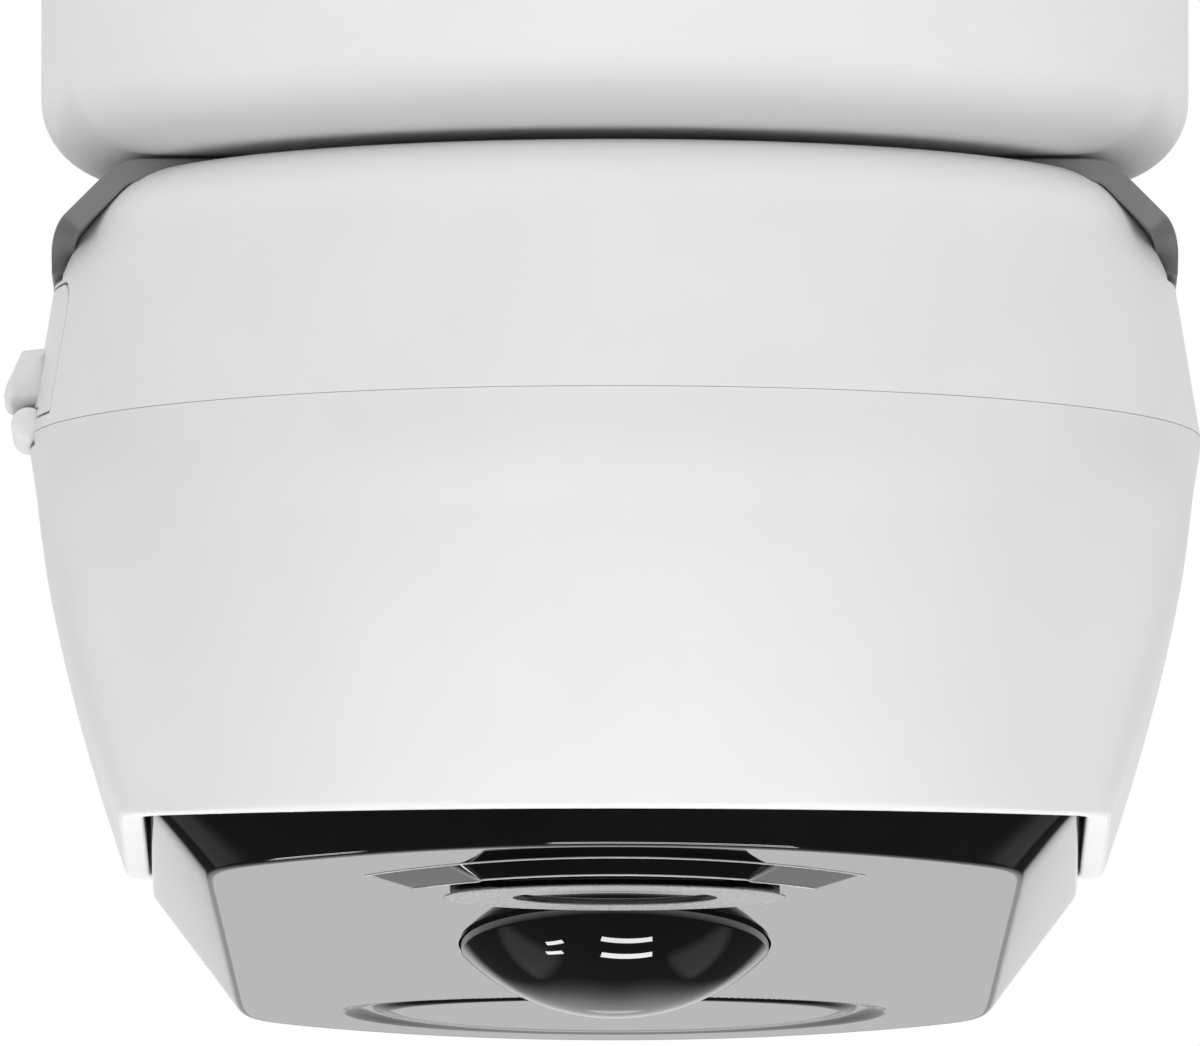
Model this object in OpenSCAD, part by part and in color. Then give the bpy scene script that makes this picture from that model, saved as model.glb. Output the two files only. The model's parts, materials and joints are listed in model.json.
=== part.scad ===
// Ceiling security camera with a round base, a panning head and a tilting lens front.
// The origin is the middle of the ceiling face, +Z points up, and the front looks towards -Y.

/* [Base] */
// Outer radius of the round base
cap_r = 73.5; // [70:0.5:80]
// Height of the base from the ceiling to its floor
cap_h = 35; // [30:1:50]
// Thickness of the base wall
cap_wall = 3; // [2:0.2:4]
// Rounding of the lower outer edge of the base
cap_edge_r = 9.5; // [4:0.5:12]
// Thickness of the base floor
floor_t = 3; // [2.5:0.25:4]
// Thickness of the ceiling plate
plate_t = 3; // [2:0.25:4]
// Radius of the circle of ceiling screws
ceiling_screw_circle_r = 48; // [40:1:52]
// Radius of each ceiling screw hole
ceiling_hole_r = 2.6; // [2:0.1:3]
// Radius of the cable hole in the grommet
cable_r = 5; // [4:0.5:7]
// Radius of the grommet where it fills the ceiling plate
grommet_r = 14; // [12:0.5:17]
// Radius of the circle of the base fixing screws
cap_screw_circle_r = 58; // [56:1:61]

/* [Swivel] */
// Outer radius of the hollow spigot that the head turns on
spigot_r = 18; // [16:0.5:20]
// Radius of the cable way through the spigot
spigot_bore_r = 12; // [9:0.5:13]
// Wall of the swivel bush
bush_wall = 2; // [1.5:0.25:3]
// Height of the hub inside the base, above its floor
hub_h = 8; // [6:0.5:12]

/* [Head] */
// Radius of the head at the seam between its shells
seam_r = 75; // [74:0.5:80]
// Height of the upper shell above the seam
upper_h = 32.7; // [30:0.5:40]
// Radius of the upper shell's shoulder
shoulder_r = 11; // [8:0.5:14]
// Draft of the upper shell's side, in degrees
side_draft = 9.5; // [8:0.5:11]
// Wall of the head shells
shell_wall = 2.6; // [2:0.1:3]
// Depth of the lower shell from the seam to the rim
lower_h = 52.5; // [48:0.5:60]
// Distance between the base floor and the bracket
swivel_gap = 0.5; // [0.4:0.1:1]

/* [Bracket] */
// Thickness of the bracket strap
strap_t = 3; // [2.5:0.25:4]
// Half width of the strap across the head
strap_half_w = 27; // [25:0.5:28]
// Half length of the strap, to its outer faces
strap_half_l = 72; // [71:0.25:73]
// Height of the strap's ends
strap_drop = 13.5; // [13:0.25:14.5]

/* [Front] */
// Downward tilt of the front towards the front side, in degrees
tilt = 9; // [4:1:10]
// Half width of the opening in the lower shell
opening_half_w = 59.9; // [59.5:0.1:62]
// Distance from the middle to the front edge of the opening
opening_half_d = 60; // [59.8:0.1:62]
// Distance of the front face below the tilt axis
face_drop = 12.7; // [12:0.1:14]
// Thickness of the front window
window_t = 2.2; // [1.8:0.1:2.8]
// Radius of the glass dome at the face
dome_r = 19.7; // [17:0.5:20]
// Height of the glass dome
dome_h = 9; // [6:0.5:11]
// Radius of the tilt pins
tilt_pin_r = 2.5; // [2:0.1:3]

/* [Service door] */
// Half width of the service door
door_half_w = 19; // [16:0.5:20]
// Height of the service door
door_h = 16.5; // [14:0.5:17]
// Radius of the door's hinge barrel
barrel_r = 2.2; // [2:0.1:2.4]
// Radius of the door's hinge pin
door_pin_r = 1; // [0.8:0.05:1.2]

/* [Clearances] */
// Running clearance of a pin or spigot in its bore, on the radius
run_gap = 0.05; // [0.02:0.01:0.1]
// Gap between moving parts
move_gap = 0.4; // [0.3:0.05:0.6]
// Clearance of a screw in its hole, on the radius
screw_gap = 0.1; // [0.05:0.05:0.3]

/* [Hidden] */
$fn = 96;
eps = 0.01;

// Levels, all measured down from the ceiling
cap_bottom = -cap_h;
floor_top = cap_bottom + floor_t;
strap_top = cap_bottom - swivel_gap;
strap_bottom = strap_top - strap_t;
head_top = strap_top - 0.8;
seam_z = head_top - upper_h;
rim_z = seam_z - lower_h;

// ---- shared shapes ----

// Points along an arc from angle a0 to a1
function arc(cx, cy, r, a0, a1, n = 8) =
  [for (i = [0:n]) let (a = a0 + (a1 - a0) * i / n) [cx + r * cos(a), cy + r * sin(a)]];

function mirrored(pts) = [for (i = [len(pts) - 1:-1:0]) [-pts[i][0], pts[i][1]]];

function mix(a, b, w) = a + (b - a) * w;

// Distance from the middle to a bulging edge, d away and with radius big_r, in direction a
function edge_r(a, d, big_r) =
  let (c = big_r - d, s = abs(sin(a))) sqrt(c * c * s * s + big_r * big_r - c * c) - c * s;

// Distance to a straight side, w away, which leans by k
function side_r(a, w, k = 0) = w / (abs(cos(a)) + k * sin(a) + 1e-6);

// Smaller of two distances, with a corner that gets sharper as p grows
function soft_min(a, b, p) = pow(pow(a, -p) + pow(b, -p), -1 / p);

// Four-sided outline with bulging front and back edges, as a distance in direction a
function frame_r(a, w, k, d, big_r, p) = soft_min(edge_r(a, d, big_r), side_r(a, w, k), p);

function ring(n, radii, z) = [for (i = [0:n - 1])
  [radii[i] * cos(360 * i / n), radii[i] * sin(360 * i / n), z[i]]];

// Closed solid through rings of points: the first ring and the last are joined too if it is
// a tube, and capped if it is not
module loft(rings, tube = true) {
  n = len(rings[0]);
  m = len(rings);
  quads = [for (j = [0:(tube ? m - 1 : m - 2)], i = [0:n - 1])
    [j * n + i, j * n + (i + 1) % n, ((j + 1) % m) * n + (i + 1) % n, ((j + 1) % m) * n + i]];
  tris = [for (q = quads) each [[q[0], q[1], q[2]], [q[0], q[2], q[3]]]];
  caps = tube ? [] : [[for (i = [n - 1:-1:0]) i], [for (i = [0:n - 1]) (m - 1) * n + i]];
  polyhedron([for (r = rings) each r], concat(tris, caps), convexity = 8);
}

// Screw that points up: a head below z = 0 and a shank above it
module screw(shank_r, head_r, head_h, length) {
  translate([0, 0, -head_h]) cylinder(r = head_r, h = head_h, $fn = 32);
  cylinder(r = shank_r, h = length, $fn = 32);
}

// Oval with half sizes a and b
module oval(a, b) polygon([for (t = [0:6:354]) [a * cos(t), b * sin(t)]]);

module at_circle(r, angles) for (a = angles) rotate(a) translate([r, 0, 0]) children();

// ---- base ----

cap_screw_r = 2;
cap_screw_head_r = 3.8;
cap_screw_head_h = 2.2;
post_r = 4.5;
post_bottom = floor_top;
cap_screw_l = 14;
cap_screw_angles = [90, 210, 330];
gasket_t = 1.5;
hub_r = spigot_r + run_gap + bush_wall + 6;
hub_top = floor_top + hub_h;
bush_flange_t = 2;

module cap_profile(inset) {
  r = cap_r - inset;
  edge = max(cap_edge_r - inset, 1);
  bottom = cap_bottom + inset;
  polygon(concat([[0, -gasket_t], [0, bottom]],
    arc(r - edge, bottom + edge, edge, -90, 0, 12), [[r, -gasket_t]]));
}

module mount_cap() color("whitesmoke") difference() {
  union() {
    difference() {
      rotate_extrude() cap_profile(0);
      difference() {
        rotate_extrude() cap_profile(cap_wall);
        translate([0, 0, cap_bottom]) cylinder(r = cap_r, h = floor_t);
      }
      translate([0, 0, -gasket_t - eps]) cylinder(r = cap_r - cap_wall, h = 1);
    }
    translate([0, 0, floor_top - eps]) cylinder(r = hub_r, h = hub_h + eps);
  }
  translate([0, 0, cap_bottom - 1])
    cylinder(r = spigot_r + run_gap + bush_wall, h = floor_t + hub_h + 2);
  at_circle(cap_screw_circle_r, cap_screw_angles) {
    translate([0, 0, cap_bottom - 1]) cylinder(r = cap_screw_r + screw_gap, h = floor_t + 2, $fn = 32);
    translate([0, 0, cap_bottom - 1])
      cylinder(r = cap_screw_head_r + screw_gap, h = cap_screw_head_h + 1, $fn = 32);
  }
}

module ceiling_plate() color("silver") difference() {
  union() {
    translate([0, 0, -plate_t]) cylinder(r = cap_r - cap_wall - 1, h = plate_t);
    at_circle(cap_screw_circle_r, cap_screw_angles)
      translate([0, 0, post_bottom]) cylinder(r = post_r, h = -plate_t - post_bottom + eps, $fn = 48);
  }
  translate([0, 0, -plate_t - 1]) cylinder(r = grommet_r, h = plate_t + 2);
  at_circle(ceiling_screw_circle_r, [45:90:315])
    translate([0, 0, -plate_t - 1]) cylinder(r = ceiling_hole_r, h = plate_t + 2, $fn = 48);
  at_circle(cap_screw_circle_r, cap_screw_angles) translate([0, 0, post_bottom - 1])
    cylinder(r = cap_screw_r + screw_gap, h = cap_screw_l + 1, $fn = 32);
}

module ceiling_gasket() color("dimgray") translate([0, 0, -gasket_t]) difference() {
  cylinder(r = cap_r, h = gasket_t);
  translate([0, 0, -1]) cylinder(r = cap_r - cap_wall + 0.5, h = gasket_t + 2);
}

module cap_screws() color("silver") at_circle(cap_screw_circle_r, cap_screw_angles)
  translate([0, 0, cap_bottom + cap_screw_head_h])
    screw(cap_screw_r, cap_screw_head_r, cap_screw_head_h - 0.2, cap_screw_l);

module swivel_bush() color("ivory") difference() {
  union() {
    translate([0, 0, cap_bottom])
      cylinder(r = spigot_r + run_gap + bush_wall, h = hub_top - cap_bottom);
    translate([0, 0, hub_top]) cylinder(r = hub_r - 2, h = bush_flange_t);
  }
  translate([0, 0, cap_bottom - 1]) cylinder(r = spigot_r + run_gap, h = cap_h);
}

module cable_grommet() color("black") rotate_extrude() polygon([
  [cable_r, 0], [grommet_r, 0], [grommet_r, -plate_t], [grommet_r + 3, -plate_t],
  [grommet_r + 3, -plate_t - 2], [cable_r + 4, -plate_t - 2], [cable_r + 2, -plate_t - 6],
  [cable_r, -plate_t - 6]]);

// ---- bracket and upper shell ----

bend_r = 6;
bend_step = 5.4;
ring_h = 3;
spigot_top = hub_top + bush_flange_t + move_gap + ring_h;
bracket_screw_r = 2;
bracket_screw_head_r = 3.8;
bracket_screw_head_h = 2;
bracket_screw_l = 10;
bracket_screw_xy = [44, 18];
arm_tip_half_w = 12;
arm_taper_h = 7;
channel_gap = 0.8;

// Half of the strap's outline seen from the front, inset by i, from the middle outwards
function strap_half(i, drop) =
  let (cx = strap_half_l - bend_r, cy = -bend_r - bend_step, r = bend_r - i)
  concat([[0, -i]], arc(cx - bend_step, cy + bend_step, r, 90, 45, 6), arc(cx, cy, r, 45, 0, 6),
    [[cx + r, -drop]]);

module strap_profile(i0, i1, drop) {
  outer = strap_half(i0, drop);
  inner = strap_half(i1, drop);
  right = concat(outer, [for (i = [len(inner) - 1:-1:0]) inner[i]]);
  polygon(right);
  mirror([1, 0]) polygon(right);
}

// Outline of the strap seen from the side, wider by g
module strap_side(g, drop) {
  w = strap_half_w + g;
  t = arm_tip_half_w + g;
  polygon([[-w, 5], [-w, -arm_taper_h], [-t, -drop], [t, -drop], [w, -arm_taper_h], [w, 5]]);
}

module strap_solid(i0, i1, drop, g) intersection() {
  translate([0, 0, strap_top]) rotate([90, 0, 0])
    linear_extrude(2 * (strap_half_w + g), center = true) strap_profile(i0, i1, drop);
  translate([0, 0, strap_top]) rotate([90, 0, 90])
    linear_extrude(2 * (strap_half_l + 5), center = true) strap_side(g, drop);
}

module bracket_screw_places() for (sx = [-1, 1], sy = [-1, 1])
  translate([sx * bracket_screw_xy[0], sy * bracket_screw_xy[1], strap_top]) children();

module bracket() color("dimgray") difference() {
  union() {
    strap_solid(0, strap_t, strap_drop, 0);
    translate([0, 0, strap_bottom]) cylinder(r = spigot_r, h = spigot_top - strap_bottom);
    translate([0, 0, strap_bottom]) cylinder(r = spigot_r + 4, h = strap_t);
  }
  translate([0, 0, strap_bottom - 1]) cylinder(r = spigot_bore_r, h = spigot_top - strap_bottom + 2);
  bracket_screw_places() {
    translate([0, 0, -strap_t - 1]) cylinder(r = bracket_screw_r + screw_gap, h = strap_t + 2, $fn = 32);
    translate([0, 0, -bracket_screw_head_h])
      cylinder(r = bracket_screw_head_r + screw_gap, h = 3, $fn = 32);
  }
}

module retaining_ring() color("silver") translate([0, 0, spigot_top - ring_h]) difference() {
  cylinder(r = hub_r - 1, h = ring_h);
  translate([0, 0, -1]) cylinder(r = spigot_r, h = ring_h + 2);
  for (a = [0:90:270]) rotate(a) translate([hub_r - 1, 0, ring_h / 2])
    cube([4, 4, ring_h + 2], center = true);
}

module bracket_screws() color("silver") bracket_screw_places()
  translate([0, 0, -bracket_screw_head_h]) rotate([180, 0, 0])
    screw(bracket_screw_r, bracket_screw_head_r, bracket_screw_head_h - 0.2, bracket_screw_l);

shell_screw_r = 1.5;
shell_screw_head_r = 2.8;
shell_screw_head_h = 2;
shell_screw_circle_r = seam_r - 6.5;
shell_screw_angles = [38, 142, 218, 322];
shell_boss_r = 3.5;
shell_boss_h = 9;
chassis_t = 2.5;
flange_t = 3;

// Half outline of the upper shell, inset by i, with its foot at the seam
module upper_profile(i) {
  top = upper_h - i;
  r = shoulder_r - i;
  cy = upper_h - shoulder_r;
  side_r0 = seam_r - i / cos(side_draft);
  cx = seam_r - (cy + shoulder_r * sin(side_draft)) * tan(side_draft) - shoulder_r * cos(side_draft);
  polygon(concat([[0, 0], [side_r0, 0]], arc(cx, cy, r, side_draft, 90, 10), [[0, top]]));
}

// Channel that the bracket lies in, grown by g
module bracket_channel(g) {
  w = strap_half_w + channel_gap + g;
  translate([0, 0, strap_bottom + 10 - g / 2])
    cube([2 * (strap_half_l + 5), 2 * w, 20 + g], center = true);
  strap_solid(-5 , strap_t + g, strap_drop + channel_gap + g, channel_gap + g);
  for (s = [-1, 1]) intersection() {
    translate([s * (strap_half_l + 5 - strap_t - 2), 0, strap_top - (strap_drop + channel_gap + g) / 2])
      cube([2 * (5 + g / 2) + 4, 2 * w, strap_drop + channel_gap + g], center = true);
    translate([0, 0, strap_top]) rotate([90, 0, 90])
      linear_extrude(2 * (strap_half_l + 9), center = true)
        strap_side(channel_gap + g, strap_drop + channel_gap + g);
  }
}

door_bottom = seam_z + 1.9;
door_corner_r = 4;
hinge_x = -seam_r;
hinge_z = seam_z + 1;
knuckle_half = 5;
hinge_half = 10;

// Door opening as a prism through the left wall, larger than the door by g
module door_prism(g) {
  w = door_half_w + g;
  z0 = door_bottom - g;
  z1 = door_bottom + door_h + g;
  translate([-seam_r - 5, 0, 0]) rotate([90, 0, 90]) linear_extrude(25) polygon(concat(
    [[-w, z0], [w, z0]], arc(w - door_corner_r, z1 - door_corner_r, door_corner_r, 0, 90, 6),
    arc(-w + door_corner_r, z1 - door_corner_r, door_corner_r, 90, 180, 6)));
}

module hinge_rod(r, half) translate([hinge_x, 0, hinge_z]) rotate([90, 0, 0])
  cylinder(r = r, h = 2 * half, center = true, $fn = 48);

module upper_shell() color("white") difference() {
  union() {
    difference() {
      translate([0, 0, seam_z]) rotate_extrude() upper_profile(0);
      bracket_channel(0);
      difference() {
        translate([0, 0, seam_z - eps]) rotate_extrude() upper_profile(shell_wall);
        bracket_channel(shell_wall);
      }
    }
    translate([0, 0, seam_z + chassis_t]) at_circle(shell_screw_circle_r, shell_screw_angles)
      cylinder(r = shell_boss_r, h = shell_boss_h, $fn = 48);
    difference() {
      hinge_rod(barrel_r, hinge_half);
      translate([0, 0, seam_z - 5]) cylinder(r = seam_r - 1.5, h = 20);
    }
  }
  door_prism(move_gap);
  translate([hinge_x, 0, hinge_z]) cube([12, 2 * (knuckle_half + move_gap), 5.4], center = true);
  hinge_rod(door_pin_r, hinge_half + 1);
  translate([0, 0, strap_bottom - 10]) cylinder(r = spigot_bore_r, h = 20);
  translate([0, 0, seam_z + chassis_t - 1]) at_circle(shell_screw_circle_r, shell_screw_angles)
    cylinder(r = shell_screw_r + screw_gap, h = shell_boss_h, $fn = 32);
  bracket_screw_places() translate([0, 0, -20]) cylinder(r = bracket_screw_r + screw_gap, h = 20, $fn = 32);
}

// ---- lower shell ----

ring_n = 96;
rim_big_r = 161;
rim_bulge_w = 3;
levels = [0, 0.06, 0.14, 0.24, 0.34, 0.44, 0.54, 0.64, 0.74, 0.84, 0.93, 1];

function fade(t) = let (u = min(max(t, 0), 1)) u * u * (3 - 2 * u);

// Outline of the lower shell at depth t, from 0 at the seam to 1 at the rim, inset by i
function shell_r(a, t, i) =
  let (w = pow(t, 1.55),
    rim_w = opening_half_w + rim_bulge_w,
    front = mix(seam_r - i, edge_r(a, opening_half_d + shell_wall - i, rim_big_r), w),
    side = side_r(a, mix(seam_r, rim_w, w) - i),
    corner = mix(14, 44, t))
  mix(seam_r - i, soft_min(front, side, corner), fade(t / 0.3));

// The opening keeps its own size at the rim
function hollow_r(a, t) = mix(shell_r(a, t, shell_wall),
  frame_r(a, opening_half_w, 0, opening_half_d, rim_big_r, 60), fade((t - 0.6) / 0.4));

function level_ring(t, inner) = ring(ring_n,
  [for (i = [0:ring_n - 1]) inner ? hollow_r(360 * i / ring_n, t) : shell_r(360 * i / ring_n, t, 0)],
  [for (i = [0:ring_n - 1]) seam_z - t * lower_h]);

function plain_ring(r, z) = ring(ring_n, [for (i = [0:ring_n - 1]) r], [for (i = [0:ring_n - 1]) z]);

flange_inner_r = seam_r - 9.5;

module lower_shell() color("white") difference() {
  loft(concat([for (i = [len(levels) - 1:-1:0]) level_ring(levels[i], false)],
    [plain_ring(flange_inner_r, seam_z), plain_ring(flange_inner_r, seam_z - flange_t),
      plain_ring(seam_r - shell_wall, seam_z - flange_t)],
    [for (i = [2:len(levels) - 1]) level_ring(levels[i], true)]));
  translate([0, 0, seam_z - flange_t - 1]) at_circle(shell_screw_circle_r, shell_screw_angles)
    cylinder(r = shell_screw_r + screw_gap, h = flange_t + 2, $fn = 32);
  translate([hinge_x - 2, 0, seam_z])
    cube([2 * (barrel_r + move_gap) + 4, 2 * (hinge_half + move_gap), 3.4], center = true);
}

module shell_screws() color("silver") translate([0, 0, seam_z - flange_t])
  at_circle(shell_screw_circle_r, shell_screw_angles)
    screw(shell_screw_r, shell_screw_head_r, shell_screw_head_h, flange_t + chassis_t + shell_boss_h - 2);

// ---- inside the head ----

pivot_x = 43;
arm_t = 3;
arm_half_w = 6.5;
arm_foot = 12;
arm_foot_t = 2;
board_t = 1.6;
standoff_r = 3;
standoff_h = 7;
main_board_half = [40, 30];
power_board_half = [34, 22];
chassis_rim_gap = 1.2;
rib_pitch = 7;
rib = [2, 44, 4];
arm_screw_y = 4;
arm_screw_inset = 6;
cable_hole_r = 9;
cable_hole_y = 44;
chassis_bottom = seam_z;
chassis_top = seam_z + chassis_t;
board_hole_inset = [4, 4];
board_hole_xy = main_board_half - board_hole_inset;
power_hole_xy = power_board_half - board_hole_inset;
board_screw_r = 1.2;
board_screw_head_r = 2.2;
board_screw_head_h = 1.4;
arm_screw_head_r = 2.4;
arm_screw_head_h = 1.6;

module four(xy) for (sx = [-1, 1], sy = [-1, 1]) translate([sx * xy[0], sy * xy[1], 0]) children();

module chassis() color("silver") difference() {
  union() {
    translate([0, 0, chassis_bottom]) cylinder(r = seam_r - shell_wall - chassis_rim_gap, h = chassis_t);
    four(board_hole_xy) translate([0, 0, chassis_bottom - standoff_h])
      cylinder(r = standoff_r, h = standoff_h + eps, $fn = 32);
    four(power_hole_xy) translate([0, 0, chassis_top - eps])
      cylinder(r = standoff_r, h = standoff_h + eps, $fn = 32);
    for (i = [-3:3]) translate([i * rib_pitch, 0, chassis_bottom - rib[2] / 2]) cube(rib, center = true);
  }
  at_circle(shell_screw_circle_r, shell_screw_angles) translate([0, 0, chassis_bottom - 1])
    cylinder(r = shell_screw_r + screw_gap, h = chassis_t + 2, $fn = 32);
  four(board_hole_xy) translate([0, 0, chassis_bottom - standoff_h - 1])
    cylinder(r = board_screw_r + screw_gap, h = standoff_h, $fn = 32);
  four(power_hole_xy) translate([0, 0, chassis_top + 2])
    cylinder(r = board_screw_r + screw_gap, h = standoff_h, $fn = 32);
  for (s = [-1, 1], y = [-1, 1])
    translate([s * (pivot_x - arm_screw_inset), y * arm_screw_y, chassis_bottom - 1])
      cylinder(r = shell_screw_r + screw_gap, h = chassis_t + 2, $fn = 32);
  translate([0, cable_hole_y, chassis_bottom - 1]) cylinder(r = cable_hole_r, h = chassis_t + 2);
}

module pivot_arm() difference() {
  union() {
    translate([pivot_x, -arm_half_w, rim_z]) cube([arm_t, 2 * arm_half_w, chassis_bottom - rim_z]);
    translate([pivot_x, 0, rim_z]) rotate([0, 90, 0]) cylinder(r = arm_half_w, h = arm_t);
    translate([pivot_x - arm_foot, -arm_half_w, chassis_bottom - arm_foot_t])
      cube([arm_foot + arm_t, 2 * arm_half_w, arm_foot_t]);
  }
  translate([pivot_x - 1, 0, rim_z]) rotate([0, 90, 0]) cylinder(r = tilt_pin_r, h = arm_t + 2, $fn = 48);
  for (y = [-1, 1])
    translate([pivot_x - arm_screw_inset, y * arm_screw_y, chassis_bottom - arm_foot_t - 1])
      cylinder(r = shell_screw_r + screw_gap, h = arm_foot_t + 2, $fn = 32);
}

module pivot_arm_left() color("silver") mirror([1, 0, 0]) pivot_arm();

module pivot_arm_right() color("silver") pivot_arm();

wall_x = pivot_x + arm_t + 1.5;
tub_wall = 3;

module tilt_pins() color("gray") for (s = [-1, 1]) translate([s * (pivot_x - 0.5), 0, rim_z])
  rotate([0, s * 90, 0]) cylinder(r = tilt_pin_r, h = wall_x + tub_wall - pivot_x + 0.5, $fn = 48);

module arm_screws() color("silver") for (s = [-1, 1], y = [-1, 1])
  translate([s * (pivot_x - arm_screw_inset), y * arm_screw_y, chassis_bottom - arm_foot_t])
    screw(shell_screw_r, arm_screw_head_r, arm_screw_head_h, arm_foot_t + chassis_t);

module board(half, t = board_t) translate([-half[0], -half[1], 0]) cube([2 * half[0], 2 * half[1], t]);

main_board_z = chassis_bottom - standoff_h - board_t;
power_board_z = chassis_top + standoff_h;

processor = [18, 18, 2.7];
memory_chip = [12, 9, 1.4];
power_coil = [12, 12, 2];
ribbon_header = [22, 7, 6];
arm_slot = [14, 12];

// A block of the given size that hangs from the underside of a board
module below(at, size) translate([at[0], at[1], -size[2]]) cube([size[0], size[1], size[2] + eps]);

module main_board() color("darkgreen") difference() {
  translate([0, 0, main_board_z]) union() {
    board(main_board_half);
    translate([-processor[0] / 2, -processor[1] / 2, board_t]) cube(processor);
    below([14, -8], memory_chip);
    below([-26, 4], power_coil);
    below([4, 14], ribbon_header);
  }
  four(board_hole_xy) board_hole(main_board_z - 1, board_t + 2);
  for (s = [-1, 1]) translate([s * (pivot_x + 2), 0, main_board_z])
    cube([arm_slot[0], 2 * (arm_half_w + 3), arm_slot[1]], center = true);
}

// Screw with a pan head that holds a circuit board
module board_screw(l) screw(board_screw_r, board_screw_head_r, board_screw_head_h, l);

module board_hole(z, h) translate([0, 0, z])
  cylinder(r = board_screw_r + screw_gap, h = h, $fn = 32);

module board_screws() color("silver") {
  four(board_hole_xy) translate([0, 0, main_board_z]) board_screw(board_t + 4);
  four(power_hole_xy) translate([0, 0, power_board_z + board_t]) rotate([180, 0, 0])
    board_screw(board_t + 4);
}

transformer = [14, 16, 9];
capacitor_r = 4;
capacitor_h = 8;
capacitor_x = [-6, 4];
capacitor_y = 12;

module power_board() color("darkgreen") difference() {
  translate([0, 0, power_board_z]) {
    board(power_board_half);
    translate([-24, -13, board_t - eps]) cube(transformer);
    for (x = capacitor_x) translate([x, capacitor_y, board_t - eps])
      cylinder(r = capacitor_r, h = capacitor_h, $fn = 32);
  }
  four(power_hole_xy) board_hole(power_board_z - 1, board_t + 2);
}

board_top = power_board_z + board_t;

jack = [16, 15, 11.5];
jack_wall = 2;
jack_at = [14, -12];
jack_depth = 11;

module network_jack() color("lightgray") translate([jack_at[0], jack_at[1], board_top]) difference() {
  cube(jack);
  translate([jack_wall, -1, jack_wall])
    cube([jack[0] - 2 * jack_wall, jack_depth + 1, jack[2] - 2 * jack_wall]);
}

terminal = [12, 8, 9];
terminal_at = [-22, 6];
terminal_screw_r = 1.6;
terminal_way = [3.2, 3, 3];

module terminal_block() color("seagreen") translate([terminal_at[0], terminal_at[1], board_top])
  difference() {
    cube(terminal);
    for (x = [1, 3] * terminal[0] / 4) {
      translate([x, terminal[1] / 2, terminal[2] - 4]) cylinder(r = terminal_screw_r, h = 5, $fn = 32);
      translate([x - terminal_way[0] / 2, terminal[1] - 2, 1.5]) cube(terminal_way);
    }
  }

io_inset = 6;
io_x = -seam_r + io_inset;
io_board_size = [24, 32];
io_z = chassis_top;
card = [15, 11, 1];
card_y = -13;
card_gap = 0.3;
socket_wall = 0.8;

module io_board() color("darkgreen") translate([io_x + 2, -io_board_size[1] / 2, io_z])
  cube([io_board_size[0], io_board_size[1], board_t]);

module card_socket() color("silver")
  translate([io_x + 3, card_y - socket_wall - card_gap, io_z + board_t]) difference() {
  cube([card[0] + 1, card[1] + 2 * (socket_wall + card_gap), card[2] + 2 * (socket_wall + card_gap)]);
  translate([-1, socket_wall, socket_wall])
    cube([card[0] + 1, card[1] + 2 * card_gap, card[2] + 2 * card_gap]);
}

module memory_card() color("black")
  translate([io_x + 1.5, card_y, io_z + board_t + socket_wall + card_gap])
    cube([card[0] - 1, card[1], card[2]]);

switch_y = 7;
switch = [7, 8, 6];
button_l = 5;
button_r = 1.6;

module reset_switch() color("black")
  translate([io_x + 4, switch_y - switch[1] / 2, io_z + board_t]) difference() {
  cube(switch);
  translate([-1, switch[1] / 2, switch[2] / 2]) rotate([0, 90, 0])
    cylinder(r = button_r + run_gap, h = button_l + 0.2, $fn = 32);
}

module reset_button() color("orangered") translate([io_x + 1.6, switch_y, io_z + board_t + switch[2] / 2])
  rotate([0, 90, 0]) cylinder(r = button_r, h = button_l, $fn = 32);

// ---- service door ----

module service_door() color("white") difference() {
  union() {
    intersection() {
      difference() {
        translate([0, 0, seam_z]) rotate_extrude() upper_profile(0);
        translate([0, 0, seam_z - 1]) rotate_extrude() upper_profile(shell_wall);
      }
      door_prism(0);
    }
    hinge_rod(barrel_r, knuckle_half);
  }
  hinge_rod(door_pin_r + run_gap, hinge_half);
  for (s = [-1, 1]) translate([hinge_x, s * (knuckle_half + hinge_half + 0.6) / 2, hinge_z])
    rotate([90, 0, 0]) cylinder(r = barrel_r + move_gap, h = hinge_half - knuckle_half + 0.6, center = true, $fn = 48);
}

pull_half_w = 8;
pull_h = 3.6;
pull_foot_x = -seam_r + 5;

module door_pull() color("white") difference() {
  translate([0, 0, door_bottom]) rotate([90, 0, 0]) linear_extrude(2 * pull_half_w, center = true)
    polygon([[pull_foot_x, 2.4], [-seam_r - pull_h + 0.6, 1.4], [-seam_r - pull_h, 2.4],
      [-seam_r - pull_h + 0.4, 4], [-seam_r - 1.2, 10.5], [pull_foot_x, 12.5]]);
  translate([0, 0, seam_z]) rotate_extrude() upper_profile(0);
}

module door_pin() color("silver") hinge_rod(door_pin_r, hinge_half);

// ---- tilting front, drawn level with the tilt axis at its origin ----

module front() translate([0, 0, rim_z]) rotate([-tilt, 0, 0]) children();

face_z = -face_drop;
side_gap = 0.6;
side_lean = -0.00625;
root_z0 = -0.9;
root_slope = 0.115;
skirt_top = 5.2;
flange_z = 6;
flange_h = 2.5;
face_half_w = 50.2;
face_lean = 0.0488;
face_half_d = 53.5;
face_big_r = 106;
window_back = face_z + window_t;
root_half_d = opening_half_d - 0.8;
root_half_w = opening_half_w - side_gap;

function face_outline(i, p = 30) =
  [for (j = [0:ring_n - 1])
    frame_r(360 * j / ring_n, face_half_w - i, face_lean, face_half_d - i, face_big_r, p)];

function root_outline(i, p = 40) =
  [for (j = [0:ring_n - 1])
    frame_r(360 * j / ring_n, root_half_w - i, side_lean, root_half_d - i, rim_big_r, p)];

function flat(z) = [for (j = [0:ring_n - 1]) z];

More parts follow.
